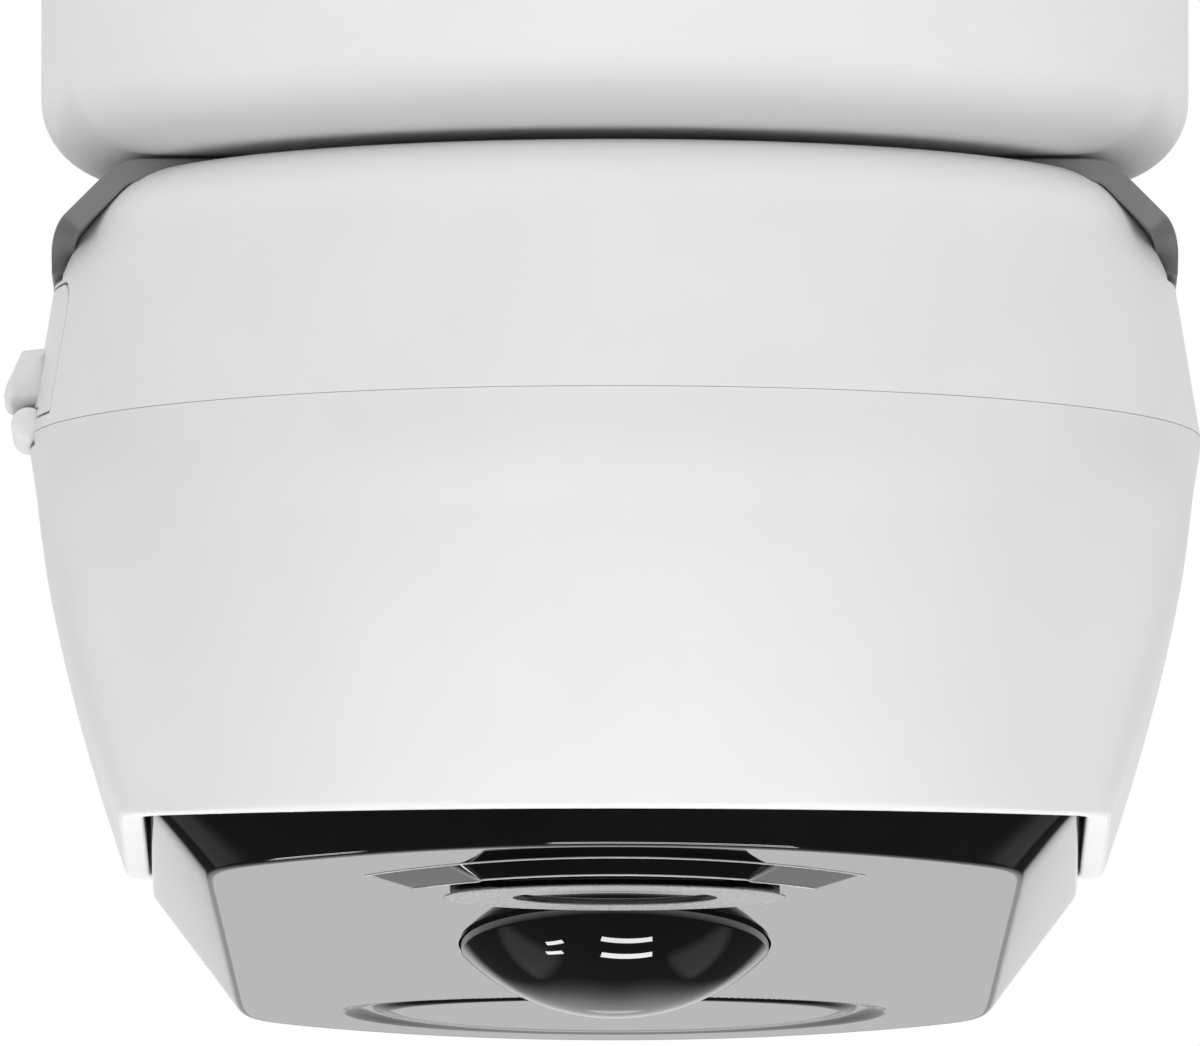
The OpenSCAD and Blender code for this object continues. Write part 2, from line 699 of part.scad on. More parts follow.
// The bevel's upper edge slopes, so that it runs level with the rim
function root_level(radii, up) =
  [for (j = [0:ring_n - 1]) root_z0 + root_slope * radii[j] * sin(360 * j / ring_n) + up];

function outline_points(radii) =
  [for (j = [0:ring_n - 1]) [radii[j] * cos(360 * j / ring_n), radii[j] * sin(360 * j / ring_n)]];

pillar_xy = [41, 32];
carrier_z = -4.5;
carrier_t = 2.5;
oval_y = -30.3;
oval_out = [21.8, 6.6];
oval_stem = [20.4, 5.4];
oval_in = [13, 3.9];
brow_r = 56.8;
brow_y = 10.1;
brow_w = 3.2;
brow_h = 2.25;
brow_angle = 34;
groove_r = [34, 9.8];
groove_y = 36;
groove_w = 0.9;
lens_hole_r = dome_r + 0.3;
face_split = 0.62;
pillar_r = 3;

// Raised bar that follows the front edge of the face
module brow() translate([0, brow_y, face_z - brow_h]) linear_extrude(brow_h + 0.5)
  polygon(concat(arc(0, 0, brow_r, -90 - brow_angle, -90 + brow_angle, 16),
    arc(0, 0, brow_r - brow_w, -90 + brow_angle, -90 - brow_angle, 16)));

module front_window() color([0.08, 0.08, 0.09]) front() difference() {
  union() {
    loft([ring(ring_n, root_outline(0), flat(skirt_top)),
      ring(ring_n, root_outline(0), root_level(root_outline(0), 0)),
      ring(ring_n, face_outline(0), flat(face_z)),
      ring(ring_n, [for (r = face_outline(0)) r * face_split], flat(face_z)),
      ring(ring_n, [for (r = face_outline(0)) r * face_split], flat(window_back)),
      ring(ring_n, face_outline(window_t), flat(window_back)),
      ring(ring_n, root_outline(window_t), root_level(root_outline(window_t), 0.4)),
      ring(ring_n, root_outline(window_t), flat(skirt_top))]);
    translate([0, 0, face_z]) linear_extrude(window_t)
      polygon(outline_points([for (r = face_outline(0)) r * (face_split + 0.02)]));
    brow();
    four(pillar_xy) translate([0, 0, window_back - eps])
      cylinder(r = pillar_r, h = carrier_z - window_back, $fn = 32);
  }
  translate([0, 0, face_z - 5]) cylinder(r = lens_hole_r, h = 10);
  translate([0, oval_y, face_z - 5]) linear_extrude(10) oval(oval_stem[0] + 0.1, oval_stem[1] + 0.1);
  four(pillar_xy) board_hole(window_back + 0.5, carrier_z - window_back);
  translate([0, groove_y, face_z - 1]) linear_extrude(1.5) intersection() {
    difference() {
      oval(groove_r[0], groove_r[1]);
      oval(groove_r[0] - groove_w, groove_r[1] - groove_w);
    }
    translate([-groove_r[0] - 1, -groove_r[1] / 2 - 1]) square([2 * groove_r[0] + 2, 3 * groove_r[1]]);
  }
}

module window_gasket() color("dimgray") front()
  translate([0, 0, skirt_top]) linear_extrude(flange_z - skirt_top)
  difference() {
    polygon(outline_points(root_outline(0.3)));
    polygon(outline_points(root_outline(window_t - 0.2)));
  }

tub_x = wall_x + tub_wall;
tub_y = 41;
drum_top = 16;

module front_frame() color([0.15, 0.15, 0.16]) front() difference() {
  union() {
    translate([0, 0, flange_z]) linear_extrude(flange_h) difference() {
      polygon(outline_points(root_outline(0.4)));
      square([2 * wall_x, 2 * (tub_y - tub_wall)], center = true);
    }
    translate([0, 0, carrier_z]) linear_extrude(flange_z + flange_h - carrier_z) difference() {
      square([2 * tub_x, 2 * tub_y], center = true);
      square([2 * wall_x, 2 * (tub_y - tub_wall)], center = true);
    }
    translate([0, 0, carrier_z]) linear_extrude(carrier_t)
      square([2 * tub_x, 2 * tub_y], center = true);
    for (s = [-1, 1]) translate([s * (wall_x + tub_wall / 2), 0, 0]) rotate([0, 90, 0])
      cylinder(r = arm_half_w, h = tub_wall, center = true);
    // Curved light seals that stay close to the rim as the front tilts
    intersection() {
      rotate([0, 90, 0]) rotate_extrude() polygon(concat(
        [for (x = [-46:4:46]) [root_half_d - 0.4 - x * x / (2 * rim_big_r), x]],
        [for (x = [46:-4:-46]) [root_half_d - 2.4 - x * x / (2 * rim_big_r), x]]));
      for (s = [-1, 1]) translate([0, s * 55, flange_z + (drum_top - flange_z) / 2])
        cube([92, 36, drum_top - flange_z], center = true);
    }
  }
  for (s = [-1, 1]) {
    translate([s * (wall_x - tub_wall), 0, 0]) rotate([0, s * 90, 0])
      cylinder(r = tilt_pin_r + run_gap, h = 3 * tub_wall, $fn = 48);
    translate([s * (wall_x - 3.8), 0, 0]) cube([7.6, 2 * (arm_half_w + 4), 16], center = true);
  }
  translate([0, 0, carrier_z - 1]) cylinder(r = barrel_out_r + run_gap, h = carrier_t + 2);
  four(pillar_xy) board_hole(carrier_z - 1, carrier_t + 2);
}

module window_screws() color("silver") front() four(pillar_xy)
  translate([0, 0, carrier_z + carrier_t]) rotate([180, 0, 0]) board_screw(carrier_t + 3.5);

module sensor_ring() color([0.2, 0.2, 0.2]) front() translate([0, oval_y, 0]) difference() {
  union() {
    translate([0, 0, face_z - 1.5]) linear_extrude(1.5) oval(oval_out[0], oval_out[1]);
    translate([0, 0, face_z - eps]) linear_extrude(window_t + eps) oval(oval_stem[0], oval_stem[1]);
  }
  translate([0, 0, face_z - 2]) linear_extrude(5) oval(oval_in[0], oval_in[1]);
}

module sensor_window() color("black") front() translate([0, oval_y, face_z - 0.7])
  linear_extrude(window_t + 0.7) oval(oval_in[0], oval_in[1]);

led_board_z = carrier_z - board_t;
led_r = 2.5;
led_circle_r = 31;
led_board_r = 38;
led_board_w = 72;
led_board_hole_r = 24;
led_board_slot = [8, 26];
led_angles = [0, 40, 90, 140, 180, 222, 318];

module ir_led_board() color("darkgreen") front() translate([0, 0, led_board_z])
  linear_extrude(board_t) difference() {
  intersection() { circle(r = led_board_r); square([2 * led_board_r, led_board_w], center = true); }
  circle(r = led_board_hole_r);
  for (s = [-1, 1]) translate([s * pillar_xy[0], 0]) square(led_board_slot, center = true);
}

module ir_leds() color("lavender") front() translate([0, 0, window_back + 0.4])
  at_circle(led_circle_r, led_angles)
  cylinder(r = led_r, h = led_board_z - window_back - 0.4, $fn = 32);

light_sensor_w = 6;

module light_sensor() color("black") front() 
  translate([-light_sensor_w / 2, oval_y - light_sensor_w / 2, window_back + 0.3])
    cube([light_sensor_w, light_sensor_w, led_board_z - window_back - 0.3]);

barrel_out_r = 17;
barrel_in_r = 13;
barrel_top = 12;
lens_flange_r = 22.5;
rear_lens_t = 2.4;
lens_mount_w = 36;
lens_mount_h = 5;
sensor_board_half = [20, 20];
image_sensor_size = [12, 10, 1.6];
lens_seat = window_back + 0.6;

function dome_ball() = (dome_r * dome_r + dome_h * dome_h) / (2 * dome_h);

module lens_dome() color([0.05, 0.05, 0.06]) front() rotate_extrude() polygon(concat(
  [[0, lens_seat], [0, face_z - dome_h]],
  [for (i = [1:20]) let (r = dome_r * i / 20)
    [r, face_z - dome_h + dome_ball() - sqrt(dome_ball() * dome_ball() - r * r)]],
  [[dome_r, lens_seat]]));

module lens_gasket() color("dimgray") front() translate([0, 0, window_back]) difference() {
  cylinder(r = lens_flange_r + 0.5, h = lens_seat - window_back);
  translate([0, 0, -1]) cylinder(r = lens_hole_r, h = 3);
}

module lens_barrel() color([0.12, 0.12, 0.12]) front() difference() {
  union() {
    translate([0, 0, lens_seat]) cylinder(r = lens_flange_r, h = 1.6);
    translate([0, 0, lens_seat]) cylinder(r = barrel_out_r, h = barrel_top - lens_seat);
    translate([0, 0, carrier_z + carrier_t]) cylinder(r = barrel_out_r + 2, h = 2);
  }
  translate([0, 0, lens_seat - 1]) cylinder(r = barrel_in_r, h = barrel_top - lens_seat + 2);
}

module rear_lenses() color([0.2, 0.25, 0.35]) front() for (z = [lens_seat + 1, -3, 3, 8])
  translate([0, 0, z]) cylinder(r = barrel_in_r, h = rear_lens_t);

module lens_mount() color([0.1, 0.1, 0.1]) front() translate([0, 0, barrel_top]) difference() {
  translate([-lens_mount_w / 2, -lens_mount_w / 2, 0]) cube([lens_mount_w, lens_mount_w, lens_mount_h]);
  translate([0, 0, -1]) cylinder(r = barrel_in_r - 1, h = lens_mount_h + 2);
}

module sensor_board() color("darkgreen") front()
  translate([0, 0, barrel_top + lens_mount_h]) board(sensor_board_half);

module image_sensor() color([0.3, 0.3, 0.4]) front() 
  translate([0, 0, barrel_top + lens_mount_h - image_sensor_size[2]])
    translate([-image_sensor_size[0] / 2, -image_sensor_size[1] / 2, 0]) cube(image_sensor_size);

mount_cap();
ceiling_plate();
ceiling_gasket();
cap_screws();
swivel_bush();
cable_grommet();
bracket();
retaining_ring();
bracket_screws();
upper_shell();
lower_shell();
shell_screws();
chassis();
pivot_arm_left();
pivot_arm_right();
tilt_pins();
arm_screws();
main_board();
board_screws();
power_board();
network_jack();
terminal_block();
io_board();
card_socket();
memory_card();
reset_switch();
reset_button();
service_door();
door_pull();
door_pin();
front_frame();
front_window();
window_gasket();
window_screws();
sensor_ring();
sensor_window();
light_sensor();
lens_dome();
lens_gasket();
lens_barrel();
rear_lenses();
lens_mount();
sensor_board();
image_sensor();
ir_led_board();
ir_leds();
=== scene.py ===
import json
import math
import bmesh
import bpy
import numpy as np
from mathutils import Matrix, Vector


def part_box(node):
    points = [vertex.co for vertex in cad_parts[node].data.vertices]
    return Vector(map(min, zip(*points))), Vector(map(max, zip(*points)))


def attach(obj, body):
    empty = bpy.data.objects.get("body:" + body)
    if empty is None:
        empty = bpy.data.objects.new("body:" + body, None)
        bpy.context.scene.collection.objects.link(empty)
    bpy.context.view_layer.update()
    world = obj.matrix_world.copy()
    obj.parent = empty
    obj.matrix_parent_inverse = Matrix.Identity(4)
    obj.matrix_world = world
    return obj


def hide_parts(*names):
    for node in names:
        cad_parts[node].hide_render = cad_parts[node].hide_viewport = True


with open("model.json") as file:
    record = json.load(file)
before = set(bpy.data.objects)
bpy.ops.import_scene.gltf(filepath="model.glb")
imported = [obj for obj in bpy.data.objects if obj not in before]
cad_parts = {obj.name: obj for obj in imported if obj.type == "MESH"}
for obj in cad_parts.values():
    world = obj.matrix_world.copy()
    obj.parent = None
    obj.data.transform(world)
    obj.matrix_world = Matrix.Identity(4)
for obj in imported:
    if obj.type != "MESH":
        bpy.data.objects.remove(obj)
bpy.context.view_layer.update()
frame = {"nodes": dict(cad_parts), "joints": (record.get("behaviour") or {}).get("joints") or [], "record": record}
nodes = frame["nodes"]
joints = {j["name"]: j for j in frame["joints"]}
mm = 0.001


def low(node):
    return np.array(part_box(node)[0])


def high(node):
    return np.array(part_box(node)[1])


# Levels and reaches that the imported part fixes, in metres
place = {
    "baseRadius": float(high("mount_cap")[1]),
    "baseTop": float(high("mount_cap")[2]),
    "baseBottom": float(low("mount_cap")[2]),
    "strapTop": float(joints["head_pan"]["pos_m"][2]),
    "strapHalfWidth": float(high("bracket")[1]),
    "strapHalfLength": float(high("bracket")[0]),
    "strapEnd": float(low("bracket")[2]),
    "headTop": float(high("upper_shell")[2]),
    "seam": float(high("lower_shell")[2]),
    "rim": float(joints["front_tilt"]["pos_m"][2]),
    "seamRadius": float(high("upper_shell")[1]),
}

view = {
    "distance": 6.0,  # very long lens, far back, so nearly without perspective
    "below": 5.1,  # degrees under level
    "aimX": -0.0019,
    "aimBelowSeam": 0.0108,
    "frameWidth": 0.15365,  # width seen at the middle of the part
    "sensor": 36.0,
    "clip": (0.05, 30.0),
}


def makeCamera():
    data = bpy.data.cameras.new("camera")
    data.sensor_width = view["sensor"]
    data.lens = view["sensor"] * view["distance"] / view["frameWidth"]
    data.clip_start, data.clip_end = view["clip"]
    cam = bpy.data.objects.new("camera", data)
    bpy.context.scene.collection.objects.link(cam)
    aim = Vector((view["aimX"], 0, place["seam"] - view["aimBelowSeam"]))
    tip = math.radians(view["below"])
    back = Vector((0, -math.cos(tip), -math.sin(tip)))
    cam.location = aim + back * view["distance"]
    cam.rotation_mode = "QUATERNION"
    cam.rotation_quaternion = (-back).to_track_quat("-Z", "Y")
    bpy.context.scene.camera = cam


light = {
    "ambient": 0.79,  # soft light from the sides and above
    "ambientBelow": 0.30,
    "belowFrom": (-1.0, 0.1),  # heights of a direction between which the ambient grows
    "seen": 1.0,  # what the camera and clear pieces see behind the part
    "dark": 0.06,  # what gloss sees where no white panel stands
    # White panels seen by gloss: the start and the full value of sideways, backward and upward reach
    "panels": (
        # The room above the horizon
        {"side": None, "back": None, "up": (-0.42, -0.20), "level": 1.0},
        # Behind and low, with a weaker pair beside it
        {"side": (0.36, 0.08), "back": (0.0, 0.3), "up": (-0.97, -0.55), "level": 0.85},
        {"side": (0.27, 0.36), "back": (0.08, 0.3), "up": (-0.64, -0.74), "level": 0.3},
    ),
    "hotTowards": (0.0, 0.9198, -0.3923),  # where the flat face mirrors the studio
    "hotSpan": (0.9972, 0.9995),
    "hotLevel": 0.66,
}

# Soft lamps that point at the seam: place, size and power
lamps = {
    "keyFront": ((0.06, -1.69, 0.535), (1.6, 1.2), 8.8),
    "sideLeft": ((-1.6, -0.9, 0.1), (0.9, 0.9), 3.4),
    "sideRight": ((1.6, -0.9, 0.1), (0.9, 0.9), 3.4),
    "lowMiddle": ((0.0, -0.08, -0.82), (0.3, 0.1), 5.0),
}

# Bars of light that only gloss sees, as middle x, middle y, width, depth and turn in degrees, at one level
barLevel, barShine = -0.30, 10.0
bars = {
    "barNear": (0.0158, -0.0335, 0.068, 0.0098, 7.5),
    "barFar": (0.0144, 0.0005, 0.062, 0.0109, 7.5),
    "barSideNear": (-0.0784, -0.0033, 0.030, 0.0070, -46),
    "barSideFar": (-0.0740, 0.0203, 0.028, 0.0065, -44),
}


def areaLamp(name, at, aim, size, power, gloss=False):
    data = bpy.data.lights.new(name, "AREA")
    data.shape, data.size, data.size_y = "RECTANGLE", size[0], size[1]
    data.energy = power
    lamp = bpy.data.objects.new(name, data)
    bpy.context.scene.collection.objects.link(lamp)
    lamp.location = at
    lamp.rotation_mode = "QUATERNION"
    lamp.rotation_quaternion = (Vector(aim) - Vector(at)).to_track_quat("-Z", "Y")
    lamp.visible_glossy = gloss
    lamp.visible_diffuse = not gloss
    lamp.visible_camera = False
    return lamp


def step(tree, value, start, full):
    # Smooth rise from 0 at start to 1 at full
    node = tree.nodes.new("ShaderNodeMapRange")
    node.interpolation_type = "SMOOTHSTEP"
    node.inputs["From Min"].default_value = start
    node.inputs["From Max"].default_value = full
    tree.links.new(value, node.inputs["Value"])
    return node.outputs["Result"]


def combine(tree, operation, *values):
    # One maths node, fed by sockets or by plain numbers
    node = tree.nodes.new("ShaderNodeMath")
    node.operation = operation
    for socket, value in zip(node.inputs, values):
        if isinstance(value, (int, float)):
            socket.default_value = value
        else:
            tree.links.new(value, socket)
    return node.outputs[0]


def mirroredLevel(tree, direction, x, y, z):
    # The brightest panel in a direction, each one the product of its three reaches, over the dark level
    reach = {"side": combine(tree, "ABSOLUTE", x), "back": y, "up": z}
    best = light["dark"]
    for panel in light["panels"]:
        level = panel["level"]
        for key, value in reach.items():
            if panel[key]:
                level = combine(tree, "MULTIPLY", step(tree, value, *panel[key]), level)
        best = combine(tree, "MAXIMUM", level, best)
    towards = tree.nodes.new("ShaderNodeVectorMath")
    towards.operation = "DOT_PRODUCT"
    towards.inputs[1].default_value = light["hotTowards"]
    tree.links.new(direction, towards.inputs[0])
    hot = combine(tree, "MULTIPLY", step(tree, towards.outputs["Value"], *light["hotSpan"]), light["hotLevel"])
    return combine(tree, "ADD", best, hot)


def mixed(tree, share, first, second):
    # Two shaders blended, the second one by the share
    node = tree.nodes.new("ShaderNodeMixShader")
    for socket, value in zip(node.inputs, (share, first, second)):
        tree.links.new(value, socket)
    return node.outputs[0]


def makeLights():
    aim = (0, 0, place["seam"])
    for name, (at, size, power) in lamps.items():
        areaLamp(name, at, aim, size, power)
    for name, (x, y, width, depth, turn) in bars.items():
        power = barShine * math.pi * width * depth
        lamp = areaLamp(name, (x, y, barLevel), (x, y, 0), (width, depth), power, True)
        lamp.rotation_mode = "XYZ"
        lamp.rotation_euler = (math.pi, 0, math.radians(turn))
    world = bpy.data.worlds.new("studio")
    bpy.context.scene.world = world
    world.use_nodes = True
    tree = world.node_tree
    tree.nodes.clear()
    out = tree.nodes.new("ShaderNodeOutputWorld")
    direction = tree.nodes.new("ShaderNodeTexCoord").outputs["Generated"]
    apart = tree.nodes.new("ShaderNodeSeparateXYZ")
    tree.links.new(direction, apart.inputs[0])
    x, y, z = apart.outputs
    rise = combine(tree, "MULTIPLY", step(tree, z, *light["belowFrom"]), light["ambient"] - light["ambientBelow"])
    levels = []
    for value in (combine(tree, "ADD", rise, light["ambientBelow"]), None, mirroredLevel(tree, direction, x, y, z)):
        level = tree.nodes.new("ShaderNodeBackground")
        level.inputs["Color"].default_value = (1, 1, 1, 1)
        level.inputs["Strength"].default_value = light["seen"]
        if value:
            tree.links.new(value, level.inputs["Strength"])
        levels.append(level.outputs[0])
    path = tree.nodes.new("ShaderNodeLightPath")
    straight = combine(tree, "MAXIMUM", path.outputs["Is Camera Ray"], path.outputs["Is Transmission Ray"])
    lit = mixed(tree, path.outputs["Is Glossy Ray"], levels[0], levels[2])
    tree.links.new(mixed(tree, straight, lit, levels[1]), out.inputs[0])


ground = {"reach": 3.0, "drop": 0.9, "rise": 0.1, "flatShare": 0.8, "points": 41, "tone": 0.82, "rough": 0.9}


def makeFloor():
    # Pale floor far under the part, seen only from above, that falls away smoothly at its edge
    g = ground
    x = np.linspace(-g["reach"], g["reach"], g["points"])
    gx, gy = np.meshgrid(x, x, indexing="ij")
    outward = np.maximum(np.abs(gx), np.abs(gy)) / g["reach"]
    edge = np.clip(outward - g["flatShare"], 0, 1) / (1 - g["flatShare"])
    points = np.stack([gx, gy, -g["drop"] - g["rise"] * edge ** 2], -1)
    index = np.arange(g["points"] ** 2).reshape(g["points"], g["points"])
    quads = np.stack([index[:-1, :-1], index[1:, :-1], index[1:, 1:], index[:-1, 1:]], -1).reshape(-1, 4)
    mesh = bpy.data.meshes.new("floor")
    mesh.from_pydata(points.reshape(-1, 3).tolist(), [], quads.tolist())
    floor = bpy.data.objects.new("floor", mesh)
    bpy.context.scene.collection.objects.link(floor)
    material = bpy.data.materials.new("paleFloor")
    material.use_nodes = True
    tree = material.node_tree
    shader = tree.nodes["Principled BSDF"]
    shader.inputs["Base Color"].default_value = (g["tone"], g["tone"], g["tone"], 1)
    shader.inputs["Roughness"].default_value = g["rough"]
    side = tree.nodes.new("ShaderNodeNewGeometry")
    path = tree.nodes.new("ShaderNodeLightPath")
    clear = tree.nodes.new("ShaderNodeBsdfTransparent")
    hide = combine(tree, "MAXIMUM", side.outputs["Backfacing"], path.outputs["Is Glossy Ray"])
    tree.links.new(mixed(tree, hide, shader.outputs[0], clear.outputs[0]),
                   tree.nodes["Material Output"].inputs["Surface"])
    mesh.materials.append(material)
    floor.visible_diffuse = False


def newMaterial(name, slotName):
    # An empty finish that remembers the slot it stands for
    material = bpy.data.materials.new(name)
    material.use_nodes = True
    material["slotName"] = slotName
    tree = material.node_tree
    shader = tree.nodes["Principled BSDF"]
    coords = tree.nodes.new("ShaderNodeTexCoord")
    return material, tree, shader, coords


def noise(tree, coords, scale, detail, stretch):
    # An uneven pattern from 0 to 1, drawn out along the axes where stretch says so
    source = coords.outputs["Object"]
    if stretch:
        mapping = tree.nodes.new("ShaderNodeMapping")
        mapping.inputs["Scale"].default_value = stretch
        tree.links.new(source, mapping.inputs["Vector"])
        source = mapping.outputs["Vector"]
    node = tree.nodes.new("ShaderNodeTexNoise")
    node.inputs["Scale"].default_value = scale
    node.inputs["Detail"].default_value = detail
    tree.links.new(source, node.inputs["Vector"])
    return node.outputs["Fac"]


def ramp(tree, value, lowAt, lowColor, highAt, highColor):
    # A change from one colour to the other between two values
    node = tree.nodes.new("ShaderNodeValToRGB")
    node.color_ramp.elements[0].position = lowAt
    node.color_ramp.elements[0].color = (*lowColor, 1)
    node.color_ramp.elements[1].position = highAt
    node.color_ramp.elements[1].color = (*highColor, 1)
    tree.links.new(value, node.inputs["Fac"])
    return node.outputs["Color"]


def spread(tree, value, lowest, highest):
    # A value from 0 to 1, stretched to lie between lowest and highest
    node = tree.nodes.new("ShaderNodeMapRange")
    node.inputs["To Min"].default_value = lowest
    node.inputs["To Max"].default_value = highest
    tree.links.new(value, node.inputs["Value"])
    return node.outputs["Result"]


def bump(tree, shader, value, strength, distance):
    # Shades the surface as a relief as high as the value times the distance would
    node = tree.nodes.new("ShaderNodeBump")
    node.inputs["Strength"].default_value = strength
    node.inputs["Distance"].default_value = distance
    tree.links.new(value, node.inputs["Height"])
    tree.links.new(node.outputs["Normal"], shader.inputs["Normal"])


grain = {"slowDetail": 3.0, "fineDetail": 5.0, "darkUpTo": 0.3, "brightFrom": 0.7, "strength": 0.35}


def finish(name, slot, dark, bright, rough, scale, depth, metal=0.0, stretch=None, coat=0.0, tone=60.0, specular=0.5):
    # A slow change of tone from dark to bright, a fine grain of some depth in the bump, and a broken roughness
    material, tree, shader, coords = newMaterial(name, slot)
    slow = noise(tree, coords, tone, grain["slowDetail"], stretch)
    fine = noise(tree, coords, scale, grain["fineDetail"], stretch)
    color = ramp(tree, slow, grain["darkUpTo"], dark, grain["brightFrom"], bright)
    tree.links.new(color, shader.inputs["Base Color"])
    tree.links.new(spread(tree, fine, rough[0], rough[1]), shader.inputs["Roughness"])
    shader.inputs["Metallic"].default_value = metal
    shader.inputs["Coat Weight"].default_value = coat
    shader.inputs["Specular IOR Level"].default_value = specular
    bump(tree, shader, fine, grain["strength"], depth)
    return material


def grey(level):
    return (level, level, level)


print("materials")
# Slot, dark and bright tone, lowest and highest roughness, grain scale, grain depth, and what is out of the ordinary
finishValues = {
    "shellWhite": ("white_shell", grey(0.738), grey(0.758), (0.42, 0.5), 2600, 0.00002, {}),
    "paintWhite": ("white_paint", grey(0.82), grey(0.835), (0.45, 0.58), 900, 0.00002, {"stretch": (1, 1, 3)}),
    "paintGrey": ("grey_paint", (0.17, 0.17, 0.172), (0.20, 0.20, 0.203), (0.38, 0.5), 1400, 0.00003, {}),
    "zincSheet": ("steel", (0.50, 0.51, 0.53), (0.62, 0.63, 0.64), (0.3, 0.45), 500, 0.00002, {"metal": 1.0}),
    "screwSteel": ("screw_steel", (0.45, 0.45, 0.46), grey(0.6), (0.25, 0.4), 900, 0.00002, {"metal": 1.0}),
    "castAlloy": ("cast_alloy", (0.52, 0.53, 0.54), (0.62, 0.63, 0.64),
                  (0.45, 0.6), 700, 0.00006, {"metal": 1.0}),
    "blackAnodised": ("black_alloy", grey(0.02), grey(0.035), (0.3, 0.45), 1200, 0.00002, {}),
    "sealRubber": ("seal_rubber", grey(0.02), grey(0.04), (0.7, 0.85), 900, 0.00005, {}),
    "bushAcetal": ("bush_plastic", (0.62, 0.59, 0.50), (0.68, 0.65, 0.56), (0.4, 0.5), 900, 0.00002, {}),
    "boardGreen": ("board_green", (0.01, 0.10, 0.035), (0.02, 0.16, 0.06), (0.3, 0.45), 1500, 0.00003, {}),
    "jackPlate": ("jack_metal", grey(0.6), grey(0.7), (0.18, 0.3), 800, 0.00001, {"metal": 1.0}),
    "terminalGreen": ("terminal_plastic", (0.03, 0.22, 0.10), (0.05, 0.28, 0.13), (0.4, 0.5), 900, 0.00002, {}),
    "blackPlastic": ("black_plastic", grey(0.012), grey(0.022), (0.45, 0.6), 2000, 0.00003, {}),
    "buttonOrange": ("button_plastic", (0.55, 0.10, 0.02), (0.62, 0.14, 0.03), (0.4, 0.5), 1500, 0.00002, {}),
    # A pale grey for the thin beads on the brow's foot and crest: a painted highlight along those edges
    "paintedHighlightEdge": ("smoked_gloss", grey(0.50), grey(0.62), (0.3, 0.45), 1200, 0.00001, {}),
    "smokedGloss": ("smoked_gloss", (0.002, 0.002, 0.0025), (0.004, 0.004, 0.0045),
                    (0.02, 0.05), 260, 0.000002, {"specular": 0.9}),
    "ringGrey": ("ring_grey", grey(0.24), grey(0.40), (0.35, 0.5), 3000, 0.00004, {"tone": 2200.0}),
    "domeGlass": ("lens_glass", (0.003, 0.003, 0.0035), (0.005, 0.005, 0.006),
                  (0.01, 0.03), 200, 0.000001, {"specular": 0.9}),
    "coatedGlass": ("coated_glass", (0.02, 0.03, 0.06), (0.05, 0.04, 0.10),
                    (0.02, 0.05), 200, 0.000001, {"coat": 1.0}),
    "sensorDie": ("sensor_die", (0.03, 0.02, 0.06), (0.08, 0.05, 0.12), (0.08, 0.15), 4000, 0.00001, {}),
    "ledEpoxy": ("led_lens", (0.42, 0.38, 0.46), (0.5, 0.46, 0.54), (0.08, 0.15), 700, 0.00001, {}),
}
finishes = {name: finish(name, *values, **extra) for name, (*values, extra) in finishValues.items()}
bySlot = {m["slotName"]: m for m in finishes.values()}


def skin(name, points, body, material, roundU=True, sharp=40.0):
    # points is rows x columns x 3: every row closes on itself, and the last row meets the first where roundU says so
    rows, cols = points.shape[:2]
    index = np.arange(rows * cols).reshape(rows, cols)
    if roundU:
        index = np.vstack([index, index[:1]])
    index = np.hstack([index, index[:, :1]])
    quads = np.stack([index[:-1, :-1], index[:-1, 1:], index[1:, 1:], index[1:, :-1]], -1).reshape(-1, 4)
    mesh = bpy.data.meshes.new(name)
    mesh.from_pydata(points.reshape(-1, 3).tolist(), [], quads.tolist())
    return dress(name, mesh, body, material, sharp)


weld = {"joined": 1e-7, "flat": 1e-8}  # nearer points are one, and shorter edges are taken out


def dress(name, mesh, body, material, sharp):
    # Joins, closes and turns outward the mesh, then gives it its finish and its body
    tidy = bmesh.new()
    tidy.from_mesh(mesh)
    bmesh.ops.remove_doubles(tidy, verts=tidy.verts, dist=weld["joined"])
    bmesh.ops.dissolve_degenerate(tidy, edges=tidy.edges, dist=weld["flat"])
    holes = [e for e in tidy.edges if e.is_boundary]
    if holes:
        bmesh.ops.holes_fill(tidy, edges=holes, sides=0)
    bmesh.ops.recalc_face_normals(tidy, faces=tidy.faces)
    tidy.to_mesh(mesh)
    tidy.free()
    mesh.polygons.foreach_set("use_smooth", np.ones(len(mesh.polygons), bool))
    mesh.set_sharp_from_angle(angle=math.radians(sharp))
    piece = bpy.data.objects.new(name, mesh)
    bpy.context.scene.collection.objects.link(piece)
    if material:
        piece.data.materials.append(finishes[material])
    if body:
        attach(piece, body)
    return piece


def fillet(corners, radii, steps=6, closed=True):
    # A path of straight runs whose corners are arcs that touch both neighbours
    pts = np.array(corners, float)
    count = len(pts)
    radii = [radii] * count if np.isscalar(radii) else radii
    path = []
    for i, r in enumerate(radii):
        here = pts[i]
        if r <= 0 or (not closed and i in (0, count - 1)):
            path.append(here[None])
            continue
        u = pts[i - 1] - here
        v = pts[(i + 1) % count] - here
        u, v = u / np.linalg.norm(u), v / np.linalg.norm(v)
        half = math.acos(np.clip(u @ v, -1, 1)) / 2
        reach = r / math.tan(half)
        start, end = here + u * reach, here + v * reach
        middle = here + (u + v) / np.linalg.norm(u + v) * r / math.sin(half)
        a0 = math.atan2(*(start - middle)[::-1])
        a1 = math.atan2(*(end - middle)[::-1])
        turn = (a1 - a0 + math.pi) % (2 * math.pi) - math.pi
        a = a0 + turn * np.linspace(0, 1, steps + 1)
        path.append(middle + r * np.stack([np.cos(a), np.sin(a)], 1))
    return np.vstack(path)


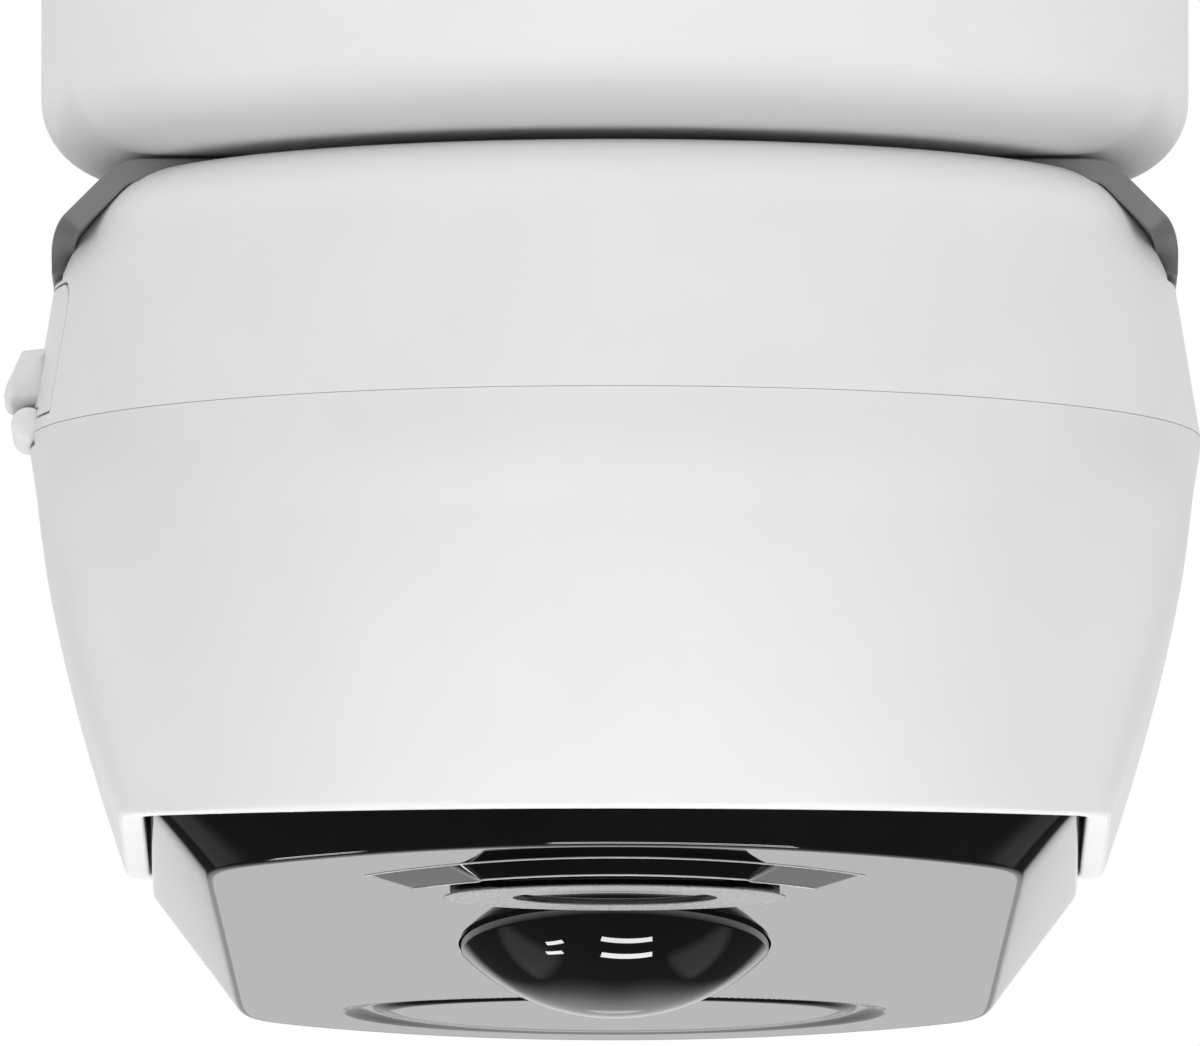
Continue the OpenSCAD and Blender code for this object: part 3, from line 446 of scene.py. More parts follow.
def turned(path, count):
    # A profile of radius and height carried once round the Z axis
    a = np.linspace(0, 2 * np.pi, count, endpoint=False)
    r, z = path[:, 0][:, None], path[:, 1][:, None]
    return np.stack([r * np.cos(a), r * np.sin(a), z + 0 * a], -1)


def mix(a, b, w):
    # Straight change from a to b as w goes from 0 to 1
    return a + (b - a) * w


def fade(t):
    # Smooth rise from 0 to 1, level at both ends
    u = np.clip(t, 0, 1)
    return u * u * (3 - 2 * u)


sharpFrom = 32  # degrees between faces, from which an edge that a cut leaves stays crisp
outside = 90 * mm  # past every shell, where the cutters end


def cut(piece, *cutters):
    # Takes the cutters' volume out of the piece and deletes them
    for cutter in cutters:
        bite = piece.modifiers.new("cut", "BOOLEAN")
        bite.operation, bite.object, bite.solver = "DIFFERENCE", cutter, "EXACT"
    depsgraph = bpy.context.evaluated_depsgraph_get()
    made = bpy.data.meshes.new_from_object(piece.evaluated_get(depsgraph))
    old = piece.data
    piece.modifiers.clear()
    piece.data = made
    bpy.data.meshes.remove(old)
    for cutter in cutters:
        bpy.data.objects.remove(cutter)
    made.polygons.foreach_set("use_smooth", np.ones(len(made.polygons), bool))
    made.set_sharp_from_angle(angle=math.radians(sharpFrom))
    return piece


def soften(piece, width, segments, angle):
    # Rounds the edges where the faces turn by more than the angle, in degrees
    soft = piece.modifiers.new("soft", "BEVEL")
    soft.width, soft.segments, soft.limit_method = width, segments, "ANGLE"
    soft.angle_limit = math.radians(angle)


def blockCutter(lowCorner, highCorner):
    # A block between two opposite corners
    lo, hi = np.array(lowCorner), np.array(highCorner)
    ring = np.array([[0, 0], [1, 0], [1, 1], [0, 1]], float)
    rows = [np.concatenate([lo[:2] + (hi - lo)[:2] * ring, np.full((4, 1), z)], 1) for z in (lo[2], hi[2])]
    return skin("cutter", np.array(rows), None, None, roundU=False)


print("base")
base = {"wall": 3 * mm, "edge": 9.5 * mm, "bore": 20.05 * mm, "hubRadius": 26 * mm, "hubHeight": 8 * mm,
        "rimEdge": 0.4 * mm, "hubEdge": 0.5 * mm, "floorEdge": 1 * mm}


def makeBase():
    # One wall section turned round: side, rounded lower edge, floor and the hub round the bore
    r, top, bottom = place["baseRadius"], place["baseTop"], place["baseBottom"]
    wall, floor = base["wall"], bottom + base["wall"]
    hub = floor + base["hubHeight"]
    corners = [(r, top), (r, bottom), (base["bore"], bottom), (base["bore"], hub), (base["hubRadius"], hub),
               (base["hubRadius"], floor), (r - wall, floor), (r - wall, top)]
    radii = [base["rimEdge"], base["edge"], base["hubEdge"], base["hubEdge"], base["hubEdge"], base["floorEdge"],
             base["edge"] - wall, base["rimEdge"]]
    piece = skin("baseCap", turned(fillet(corners, radii, 14), 320), "base", "paintWhite")
    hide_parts("mount_cap")


print("bracket")
strap = {"thick": 3 * mm, "bend": 6 * mm, "step": 5.4 * mm, "tipHalfWidth": 12 * mm, "taperFrom": 7 * mm,
         "spigot": 18 * mm, "bore": 12 * mm, "edge": 1.2 * mm, "channelGap": 0.8 * mm,
         "channelRise": 30 * mm, "pocketRise": 2 * mm, "spigotEdge": 0.3 * mm, "stations": 321}


def strapLine(inset, count=10):
    # Half of the strap seen from the front: flat, a 45 degree bend, a slope, a second bend, and down
    reach, top = place["strapHalfLength"], place["strapTop"]
    cx, cz, r = reach - strap["bend"], -strap["bend"] - strap["step"], strap["bend"] - inset
    first = np.radians(np.linspace(90, 45, count))
    second = np.radians(np.linspace(45, 0, count))
    arcs = [np.stack([cx - strap["step"] + r * np.cos(first), cz + strap["step"] + r * np.sin(first)], 1),
            np.stack([cx + r * np.cos(second), cz + r * np.sin(second)], 1)]
    end = [[cx + r, place["strapEnd"] - top]]
    line = np.vstack([[[0, -inset]], arcs[0], arcs[1], end])
    line[:, 1] += top
    return line


def strapHalfWidth(z, extra=0.0):
    # Full width at the top, which tapers smoothly to the tip
    down = place["strapTop"] - z
    w = fade((down - strap["taperFrom"]) / (place["strapTop"] - place["strapEnd"] - strap["taperFrom"]))
    return mix(place["strapHalfWidth"], strap["tipHalfWidth"], w) + extra


def makeBracket():
    # The strap's upper and lower line at many stations, given their width, and the hollow spigot on top
    outer, inner = strapLine(0), strapLine(strap["thick"])
    outer = np.vstack([outer[::-1] * [-1, 1], outer[1:]])
    inner = np.vstack([inner[::-1] * [-1, 1], inner[1:]])
    fine = np.linspace(0, len(outer) - 1, strap["stations"])
    at = np.arange(len(outer))
    outer = np.stack([np.interp(fine, at, outer[:, k]) for k in (0, 1)], 1)
    inner = np.stack([np.interp(fine, at, inner[:, k]) for k in (0, 1)], 1)
    half = strapHalfWidth(outer[:, 1])
    rows = [np.stack([p[:, 0], s * half, p[:, 1]], 1) for p, s in ((outer, -1), (outer, 1), (inner, 1), (inner, -1))]
    strip = skin("bracketStrap", np.array(rows).transpose(1, 0, 2), "head", "paintGrey", roundU=False, sharp=30)
    soften(strip, strap["edge"], 5, 50)
    bottom, top = place["strapTop"] - strap["thick"], float(high("bracket")[2])
    loop = fillet([(strap["bore"], bottom), (strap["spigot"], bottom), (strap["spigot"], top), (strap["bore"], top)],
                  strap["spigotEdge"], 4)
    tube = skin("bracketSpigot", turned(loop, 128), "head", "paintGrey")
    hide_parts("bracket")
    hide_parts("bracket")


print("head shells")
shell = {
    "wall": 2.6 * mm, "shoulder": 11 * mm, "draft": 9.5, "bore": 12 * mm, "flangeReach": 9.5 * mm, "flange": 3 * mm,
    "openHalfWidth": 59.9 * mm, "openHalfDepth": 60 * mm, "bulgeRadius": 161 * mm, "sideExtra": 3 * mm,
    "seamEdge": 0.26 * mm, "rimEdge": 0.5 * mm, "sag": 1.55, "softEdge": 0.22 * mm,
    "circleUpTo": 0.3,  # share of the depth in which the circle gives way to four sides
    "cornerSharp": (14, 44),  # at the seam and at the rim
    "openingFrom": 0.6, "openingSharp": 60,
    "around": 720, "rowsOutside": 90, "rowsInside": 24, "firstRow": 0.01, "lastRow": 0.97,
    "shoulderPoints": 24, "sidePoints": 16,
    "hollowFoot": 1 * mm, "boreCut": (-60 * mm, -30 * mm),
}


tiny = 1e-6  # keeps a division from meeting zero


def edgeReach(a, d, big):
    # Distance from the middle, in direction a, to an arc of radius big whose nearest point is d away
    c, s = big - d, np.abs(np.sin(a))
    return np.sqrt(c * c * s * s + big * big - c * c) - c * s


def sideReach(a, w, lean=0.0):
    # Distance, in direction a, to a straight side w away that leans by lean
    return w / (np.abs(np.cos(a)) + lean * np.sin(a) + tiny)


def softMin(a, b, p):
    # The smaller of two distances, with a rounder change-over for a smaller p
    return a * (1 + (a / b) ** p) ** (-1 / p)


def frameReach(a, w, lean, d, big, p):
    # Four-sided outline of two bulging ends and two straight sides
    return softMin(edgeReach(a, d, big), sideReach(a, w, lean), p)


def shellReach(a, t, inset=0.0):
    # Circle at the seam, four bulging sides at the rim, with corners that sharpen on the way down
    w = np.power(t, shell["sag"])
    r = place["seamRadius"] - inset
    front = mix(r, edgeReach(a, shell["openHalfDepth"] + shell["wall"] - inset, shell["bulgeRadius"]), w)
    side = sideReach(a, mix(place["seamRadius"], shell["openHalfWidth"] + shell["sideExtra"], w) - inset)
    return mix(r, softMin(front, side, mix(*shell["cornerSharp"], t)), fade(t / shell["circleUpTo"]))


def hollowReach(a, t, inset=0.0):
    # The wall inside the outline, which turns to the opening's own outline near the rim
    opening = frameReach(a, shell["openHalfWidth"] + inset, 0, shell["openHalfDepth"] + inset,
                         shell["bulgeRadius"], shell["openingSharp"])
    opened = fade((t - shell["openingFrom"]) / (1 - shell["openingFrom"]))
    return mix(shellReach(a, t, shell["wall"]), opening, opened)


def ringPoints(reach, a, z):
    # Points at a reach in each direction a, on a level z
    return np.stack([reach * np.cos(a), reach * np.sin(a), z + 0 * a], -1)


def makeLowerShell():
    # One loop of rows: seam edge, down the outside, rim edge, up the inside, and over the flange
    a = np.linspace(0, 2 * np.pi, shell["around"], endpoint=False)
    top, bottom = place["seam"], place["rim"]
    depth = top - bottom
    rows = []
    corner = np.linspace(0, np.pi / 2, 6)
    for c in corner[::-1]:
        e = shell["seamEdge"]
        rows.append(ringPoints(shellReach(a, 0.0, e * (1 - np.cos(c))), a, top - e * (1 - np.sin(c))))
    for t in np.linspace(shell["firstRow"], 1 - shell["rimEdge"] / depth, shell["rowsOutside"]):
        rows.append(ringPoints(shellReach(a, t), a, top - t * depth))
    for c in corner[1:]:
        e = shell["rimEdge"]
        rows.append(ringPoints(shellReach(a, 1.0, e * (1 - np.cos(c))), a, bottom + e * (1 - np.sin(c))))
    for c in corner[::-1]:
        e = shell["rimEdge"]
        rows.append(ringPoints(hollowReach(a, 1.0, e * (1 - np.cos(c))), a, bottom + e * (1 - np.sin(c))))
    for t in np.linspace(shell["lastRow"], shell["flange"] / depth, shell["rowsInside"]):
        rows.append(ringPoints(hollowReach(a, t), a, top - t * depth))
    flat = np.full_like(a, place["seamRadius"] - shell["flangeReach"])
    rows.append(ringPoints(flat, a, top - shell["flange"]))
    rows.append(ringPoints(flat, a, top))
    piece = skin("lowerShell", np.array(rows), "head", "shellWhite", sharp=45)
    d = door
    reach = d["hingeHalf"] + d["cover"] + d["gap"]
    notch = blockCutter((-outside, -reach, top - d["seatBelow"]),
                        (d["hingeX"] + d["barrel"] + d["gap"], reach, top + d["seatAbove"]))
    cut(piece, notch)
    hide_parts("lower_shell")


def upperOutline(inset):
    # Half section of the upper shell, from its foot up the drafted side and over the shoulder
    draft = math.radians(shell["draft"])
    top = place["headTop"] - place["seam"]
    cy = top - shell["shoulder"]
    cx = place["seamRadius"] - (cy + shell["shoulder"] * math.sin(draft)) * math.tan(draft) \
        - shell["shoulder"] * math.cos(draft)
    a = np.linspace(draft, np.pi / 2, shell["shoulderPoints"])
    r = shell["shoulder"] - inset
    foot = place["seamRadius"] - inset / math.cos(draft)
    arc = np.stack([cx + r * np.cos(a), cy + r * np.sin(a)], 1)
    side = np.linspace([foot, 0], arc[0], shell["sidePoints"])[:-1]
    line = np.vstack([side, arc, [[shell["bore"], top - inset]]])
    line[:, 1] += place["seam"]
    return line


def channelCutters(grow):
    # The space the strap lies in, grown on every side: a long box, and a pocket over each end
    w = place["strapHalfWidth"] + strap["channelGap"] + grow
    floor = place["strapTop"] - strap["thick"] - grow
    cutters = [blockCutter((-outside, -w, floor), (outside, w, floor + strap["channelRise"]))]
    line = strapLine(strap["thick"] + grow, 12)[1:]
    line = np.vstack([line[0] + [0, strap["pocketRise"]], line, line[-1] - [0, strap["channelGap"] + grow]])
    half = strapHalfWidth(line[:, 1], strap["channelGap"] + grow)
    for s in (-1, 1):
        x, z = s * line[:, 0], line[:, 1]
        out = np.full_like(x, s * outside)
        rows = [np.stack(c, 1) for c in ((x, -half, z), (x, half, z), (out, half, z), (out, -half, z))]
        cutters.append(skin("cutter", np.stack(rows, 1), None, None, roundU=False))
    return cutters


door = {
    "halfWidth": 19 * mm, "height": 16.5 * mm, "corner": 4 * mm, "rise": 1.9 * mm, "gap": 0.35 * mm,
    "hingeX": float(joints["door_hinge"]["pos_m"][0]), "hingeZ": float(joints["door_hinge"]["pos_m"][2]),
    "barrel": 2.2 * mm, "bore": 1.05 * mm, "cover": 0.3 * mm, "knuckleHalf": 5 * mm, "hingeHalf": 10 * mm,
    "footCorner": 0.3 * mm, "softEdge": 0.25 * mm, "knuckleEdge": 0.3 * mm, "barrelEdge": 0.7 * mm,
    "cutFrom": -85 * mm, "cutTo": -55 * mm, "halfAngle": 24, "columns": 97, "clearSeam": 0.1 * mm,
    "notchHalf": 2.7 * mm, "notchDeep": 6 * mm,  # in the upper shell, round the knuckle
    "seatBelow": 1.7 * mm, "seatAbove": 2 * mm,  # in the lower shell, under the whole hinge
    "trim": 0.05 * mm, "trimBeyond": 0.6 * mm,  # what the panel gives up round the barrels
}


def doorCutter(extra):
    # The door's outline, grown by extra and carried straight through the wall
    d = door
    z0, z1 = place["seam"] + d["rise"] - extra, place["seam"] + d["rise"] + d["height"] + extra
    w = d["halfWidth"] + extra
    outline = fillet([(-w, z0), (w, z0), (w, z1), (-w, z1)], [d["footCorner"]] * 2 + [d["corner"]] * 2, 10)
    rows = [np.stack([np.full(len(outline), x), outline[:, 0], outline[:, 1]], 1) for x in (d["cutFrom"], d["cutTo"])]
    return skin("cutter", np.array(rows), None, None, roundU=False)


def solidOfOutline(inset, foot):
    # The outline carried round, closed across its foot and its top
    line = upperOutline(inset)[:-1]
    line = np.vstack([[0, place["seam"] - foot], [line[0, 0], place["seam"] - foot], line, [0, line[-1, 1]]])
    return skin("shellForm", turned(line, 360), "head", "shellWhite", roundU=False, sharp=45)


def makeUpperShell():
    # The outline turned round, less its hollow, the strap's channel, the door's opening and notch, and the bore
    piece = solidOfOutline(0, 0)
    hollow = solidOfOutline(shell["wall"], shell["hollowFoot"])
    cut(hollow, *channelCutters(shell["wall"]))
    d = door
    notch = blockCutter((-outside, -d["knuckleHalf"] - d["gap"], d["hingeZ"] - d["notchHalf"]),
                        (d["hingeX"] + d["notchDeep"], d["knuckleHalf"] + d["gap"], d["hingeZ"] + d["notchHalf"]))
    foot, head = shell["boreCut"]
    column = np.array([[0, foot], [shell["bore"], foot], [shell["bore"], head], [0, head]])
    bore = skin("cutter", turned(column, 96), None, None, roundU=False)
    cut(piece, hollow, *channelCutters(0), doorCutter(d["gap"]), notch, bore)
    soften(piece, shell["softEdge"], 2, 48)
    piece.name = piece.data.name = "upperShell"
    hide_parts("upper_shell")
    for s in (-1, 1):
        # The barrel's rounded end covers the end of the pin
        barrel = rod((d["hingeX"], s * (d["knuckleHalf"] + d["gap"]), d["hingeZ"]), (0, s, 0),
                     d["hingeHalf"] - d["knuckleHalf"] - d["gap"] + d["cover"], d["barrel"], d["barrelEdge"])
        knuckle = skin("hingeBarrelLeft" if s < 0 else "hingeBarrelRight", barrel, "head", "shellWhite", roundU=False)
        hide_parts("upper_shell")


def rod(start, along, length, radius, edge, count=40, hole=0.0):
    # A round bar from start, with rounded ends, closed on its own axis
    direction = Vector(along).normalized()
    side = direction.orthogonal().normalized()
    up = direction.cross(side)
    profile = fillet([(hole, 0), (radius, 0), (radius, length), (hole, length)], [0, edge, edge, 0], 4, closed=False)
    a = np.linspace(0, 2 * np.pi, count, endpoint=False)
    r, h = profile[:, 0][:, None, None], profile[:, 1][:, None, None]
    circle = np.cos(a)[None, :, None] * np.array(side) + np.sin(a)[None, :, None] * np.array(up)
    return np.array(start) + r * circle + h * np.array(direction)


def makeDoor():
    # A band of the upper shell's own wall, kept inside the door's outline, with the knuckle at its foot
    d = door
    outer = upperOutline(0)
    outer = outer[outer[:, 1] > place["seam"] + d["clearSeam"]]
    inner = upperOutline(shell["wall"])
    wide = np.vstack([outer, inner[::-1]])
    a = np.radians(np.linspace(180 - d["halfAngle"], 180 + d["halfAngle"], d["columns"]))
    r, z = wide[:, 0][:, None], wide[:, 1][:, None]
    band = np.stack([r * np.cos(a), r * np.sin(a), z + 0 * a], -1).transpose(1, 0, 2)
    panel = skin("doorPanel", band, "door", "shellWhite", roundU=False)
    keep = panel.modifiers.new("keep", "BOOLEAN")
    keeper = doorCutter(0)
    keep.operation, keep.object, keep.solver = "INTERSECT", keeper, "EXACT"
    cut(panel)
    bpy.data.objects.remove(keeper)
    gaps = []
    for s in (-1, 1):
        shape = rod((d["hingeX"], s * (d["knuckleHalf"] - d["trim"]), d["hingeZ"]), (0, s, 0),
                    d["hingeHalf"] - d["knuckleHalf"] + d["trimBeyond"], d["barrel"] + d["gap"], 0)
        gaps.append(skin("cutter", shape, None, None, roundU=False))
    pinWay = rod((d["hingeX"], -d["hingeHalf"], d["hingeZ"]), (0, 1, 0), 2 * d["hingeHalf"], d["bore"], 0)
    cut(panel, *gaps, skin("cutter", pinWay, None, None, roundU=False))
    soften(panel, d["softEdge"], 2, 50)
    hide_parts("service_door")
    # The knuckle is a tube, joined along its bore, with running room for the pin
    tube = rod((d["hingeX"], -d["knuckleHalf"], d["hingeZ"]), (0, 1, 0), 2 * d["knuckleHalf"],
               d["barrel"], d["knuckleEdge"], hole=d["bore"])
    knuckle = skin("doorKnuckle", tube, "door", "shellWhite")
    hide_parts("service_door")


pull = {
    "halfWidth": 8 * mm, "out": 3.6 * mm,
    # The root's two ends in the door's wall, as x and height over the door's foot
    "rootFoot": (-72.2 * mm, 2.2 * mm), "rootTop": (-72 * mm, 9.3 * mm),
    # Corners in mm: how far in from the tip, how high over the door's foot, and how round
    "corners": ((0, 1.3, 1.4), (0.8, 4.6, 2.0), (2.8, 8.9, 0.7)),
    "endFrom": 0.72, "endShrink": 0.35, "stations": 41,
}


def makePull():
    # A wedge whose section bulges away from the door, carried across it and rounded at both ends
    tip, foot = -place["seamRadius"] - pull["out"], place["seam"] + door["rise"]
    corners = np.array(pull["corners"]) * mm
    path = fillet([pull["rootFoot"], *(corners[:, :2] + [tip, 0]), pull["rootTop"]], [0, *corners[:, 2], 0], 8,
                  closed=False)
    middle = path.mean(0)
    v = np.linspace(-1, 1, pull["stations"])
    shrink = 1 - pull["endShrink"] * np.clip((np.abs(v) - pull["endFrom"]) / (1 - pull["endFrom"]), 0, 1) ** 2
    rows = []
    for k, share in zip(v, shrink):
        p = middle + (path - middle) * share
        rows.append(np.stack([p[:, 0], np.full(len(p), k * pull["halfWidth"]), p[:, 1] + foot], 1))
    piece = skin("pullTab", np.array(rows), "door", "shellWhite", roundU=False, sharp=50)
    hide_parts("door_pull")


print("front")
front = {
    "tilt": 9.0, "faceDrop": 12.7 * mm, "thick": 2.2 * mm, "faceHalfWidth": 50.2 * mm, "faceLean": 0.0488,
    "faceHalfDepth": 53.5 * mm, "faceBulge": 106 * mm, "rootInset": 0.6 * mm, "rootLean": -0.00625,
    "rootDepthInset": 0.8 * mm, "rootMiddle": -0.9 * mm, "rootSlope": 0.115, "skirtTop": 5.2 * mm, "softEdge": 0.8 * mm,
    "lensHole": 20.0 * mm, "domeRadius": 19.7 * mm, "domeFoot": 0.8 * mm, "domeHeight": 8.2 * mm, "lensSeat": 2.8 * mm,
    "ovalY": -30.3 * mm, "ovalOut": (21.8 * mm, 6.6 * mm), "ovalIn": (13.0 * mm, 3.9 * mm),
    "ovalProud": 1.35 * mm, "ovalTop": 0.3 * mm, "ovalHoleInset": 1.4 * mm,
    "collarEdge": 0.25 * mm, "collarSeat": 1.8 * mm, "collarSunk": 0.05 * mm,
    "ovalWindowProud": 0.7 * mm, "ovalWindowDome": 0.25 * mm, "innerLift": 0.4 * mm, "innerEdge": 0.3 * mm,
    "browRadius": 56.8 * mm, "browMiddle": 10.1 * mm, "browHeight": (1.9 * mm, 0.8 * mm),
    "browLean": (1.5 * mm, 6.4 * mm), "browRamp": (8.3 * mm, 4.0 * mm), "browTurn": 0.57, "browTurnLength": 0.1,
    "browAngle": 34.4, "browSlant": 4.0, "highlightBead": 0.12 * mm,
    "scoopMiddle": 36.5 * mm, "scoopHalfWidth": 31.8 * mm, "scoopNear": 6.9 * mm, "scoopFar": 12.0 * mm,
    "scoopBand": 0.115, "scoopDepth": 0.46 * mm, "scoopFade": 0.85,
    "faceSharp": 30, "rootSharp": 40, "around": 640, "ovalCut": 5 * mm,
    "collarRound": 0.05 * mm, "ringFoot": 0.1 * mm, "ringRound": 0.14 * mm,
    "browSunk": 0.4 * mm, "browCrest": 0.22 * mm, "browHollow": 1.2 * mm, "browRampShare": 0.82,
    "browStations": 201, "footLine": 0.99,
    "outerRows": 100, "innerRows": 6,  # across the face, where the groove lies and where it doesn't
    "mostOfSkirt": 0.9, "leastSkirt": 0.01 * mm,
}


def tilted(points):
    # Turns points of the level front by the rest tilt, about the tilt axis
    t = math.radians(-front["tilt"])
    y, z = points[..., 1], points[..., 2]
    turnedY = y * math.cos(t) - z * math.sin(t)
    turnedZ = y * math.sin(t) + z * math.cos(t)
    return np.stack([points[..., 0], turnedY, turnedZ + place["rim"]], -1)


def faceReach(a, inset):
    # Outline of the flat face
    f = front
    return frameReach(a, f["faceHalfWidth"] - inset, f["faceLean"], f["faceHalfDepth"] - inset, f["faceBulge"],
                      f["faceSharp"])


def rootReach(a, inset):
    # Outline where the bevel meets the skirt, just inside the shell's opening
    f = front
    return frameReach(a, shell["openHalfWidth"] - f["rootInset"] - inset, f["rootLean"],
                      shell["openHalfDepth"] - f["rootDepthInset"] - inset, shell["bulgeRadius"], f["rootSharp"])


def curve(p0, p1, p2, steps):
    # Quadratic curve that starts at p0, is drawn towards p1 and ends at p2
    rows = []
    for s in np.linspace(0, 1, steps):
        rows.append((1 - s) ** 2 * p0 + 2 * s * (1 - s) * p1 + s * s * p2)
    return rows


def makeWindow():
    # Rows from the lens hole across the face, over its edge and up the bevel and skirt, outside and then inside
    f = front
    a = np.linspace(0, 2 * np.pi, f["around"], endpoint=False)
    face = -f["faceDrop"]
    back = face + f["thick"]

    def scoop(points):
        # A shallow rounded groove that follows an egg-shaped line behind the lens
        y = points[:, 1] - f["scoopMiddle"]
        deep = np.where(y < 0, f["scoopNear"], f["scoopFar"])
        off = np.sqrt((points[:, 0] / f["scoopHalfWidth"]) ** 2 + (y / deep) ** 2) - 1
        dip = np.cos(np.clip(off / f["scoopBand"], -1, 1) * np.pi / 2) ** 2
        dip *= 1 - f["scoopFade"] * fade(y / f["scoopFar"])
        return points + np.stack([0 * dip, 0 * dip, f["scoopDepth"] * dip], 1)

    def sheetRows(inset, z, lift, edge, scooped):
        edgeAt = ringPoints(faceReach(a, inset), a, z)
        root = rootReach(a, inset)
        rootAt = ringPoints(root, a, 0)
        rootAt[:, 2] = f["rootMiddle"] + f["rootSlope"] * root * np.sin(a) + lift
        topAt = ringPoints(root, a, f["skirtTop"])
        inward = ringPoints(faceReach(a, inset + edge), a, z)
        outward = edgeAt + (rootAt - edgeAt) * (edge / np.linalg.norm(rootAt - edgeAt, axis=1))[:, None]
        nearRoot = rootAt + (edgeAt - rootAt) * (edge / np.linalg.norm(rootAt - edgeAt, axis=1))[:, None]
        climb = np.maximum(topAt[:, 2] - rootAt[:, 2], f["leastSkirt"])
        overRoot = rootAt + (topAt - rootAt) * np.minimum(f["mostOfSkirt"], edge / climb)[:, None]
        hole = ringPoints(np.full_like(a, f["lensHole"]), a, z)
        steps = np.linspace(0, 1, f["outerRows"] if scooped else f["innerRows"])[:-1]
        rows = [hole + (inward - hole) * s for s in steps]
        if scooped:
            rows = [scoop(row) for row in rows]
        rows += curve(inward, edgeAt, outward, 7)
        rows += [outward + (nearRoot - outward) * s for s in np.linspace(0, 1, 8)[1:-1]]
        rows += curve(nearRoot, rootAt, overRoot, 6)
        rows.append(topAt)
        return rows

    outer = sheetRows(0.0, face, 0.0, f["softEdge"], True)
    inner = sheetRows(f["thick"], back, f["innerLift"], f["innerEdge"], False)
    piece = skin("smokedFront", tilted(np.array(outer + inner[::-1])), "front", "smokedGloss", sharp=30)
    t = np.linspace(0, 2 * np.pi, 128, endpoint=False)
    wide, deep = (reach - f["ovalHoleInset"] for reach in f["ovalOut"])
    rows = [np.stack([wide * np.cos(t), f["ovalY"] + deep * np.sin(t), np.full_like(t, z)], -1)
            for z in (face - f["ovalCut"], back + f["ovalCut"])]
    oval = skin("cutter", tilted(np.array(rows)), None, None, roundU=False)
    cut(piece, oval)
    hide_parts("front_window")


def browArc(radius, z, k, slant=0.0):
    # Points on the brow's circle, at a share k of its half angle
    f = front
    a = -np.pi / 2 + np.radians(f["browAngle"] - slant) * k
    return np.stack([radius * np.cos(a), f["browMiddle"] + radius * np.sin(a), z + 0 * a], -1)


def makeBrow():
    # A short leaning wall on a circle, with a ramp behind it; both ends flatten towards the face
    f = front
    face, r, sunk = -f["faceDrop"], f["browRadius"], f["browSunk"]
    reach = np.linspace(-1, 1, f["browStations"])
    share = fade((np.abs(reach) - f["browTurn"]) / f["browTurnLength"])
    rows, crest = [], []
    for k, w in zip(reach, share):
        h, lean, back = (mix(f[n][0], f[n][1], w) for n in ("browHeight", "browLean", "browRamp"))
        section = fillet([(r + sunk * lean / h, face + sunk), (r - lean, face - h),
                          (r - lean - back * f["browRampShare"], face), (r - lean - back, face + sunk)],
                         [0, f["browCrest"], f["browHollow"], 0], 6, closed=False)
        rise = np.clip((face + sunk - section[:, 1]) / (h + sunk), 0, 1)
        rows.append(browArc(section[:, 0], section[:, 1], k, f["browSlant"] * rise))
        crest.append(browArc(np.array(r - lean), np.array(face - h), k, f["browSlant"]))
    piece = skin("browBar", tilted(np.array(rows)), "front", "smokedGloss", roundU=False, sharp=35)
    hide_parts("front_window")
    # Two thin pale beads on the brow's foot and crest: painted highlight lines along those edges
    foot = browArc(np.full_like(reach, r + f["highlightBead"]), np.full_like(reach, face), reach * f["footLine"])
    for name, line in (("browFootHighlight", foot), ("browCrestHighlight", np.array(crest))):
        a = np.linspace(0, 2 * np.pi, 8, endpoint=False)
        out = line * [1, 1, 0] - [0, f["browMiddle"], 0]
        out /= np.linalg.norm(out, axis=1)[:, None]
        around = np.cos(a)[None, :, None] * out[:, None] + np.sin(a)[None, :, None] * [0, 0, 1]
        ring = line[:, None] + f["highlightBead"] * around
        highlightBead = skin(name, tilted(ring), "front", "paintedHighlightEdge", roundU=False)
        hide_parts("front_window")


def ovalRows(section, wide):
    # A section carried round the oval; the inset grows towards the ends, where the ring is wider
    f = front
    t = np.linspace(0, 2 * np.pi, 256, endpoint=False)
    long = f["ovalOut"][0] - f["ovalIn"][0]
    share = np.clip(section[:, 0] / wide, 0, 1)[:, None]
    x = (f["ovalOut"][0] - share * long) * np.cos(t)
    y = f["ovalY"] + (f["ovalOut"][1] - share * wide) * np.sin(t)
    return np.stack([x, y, section[:, 1][:, None] + 0 * t], -1)


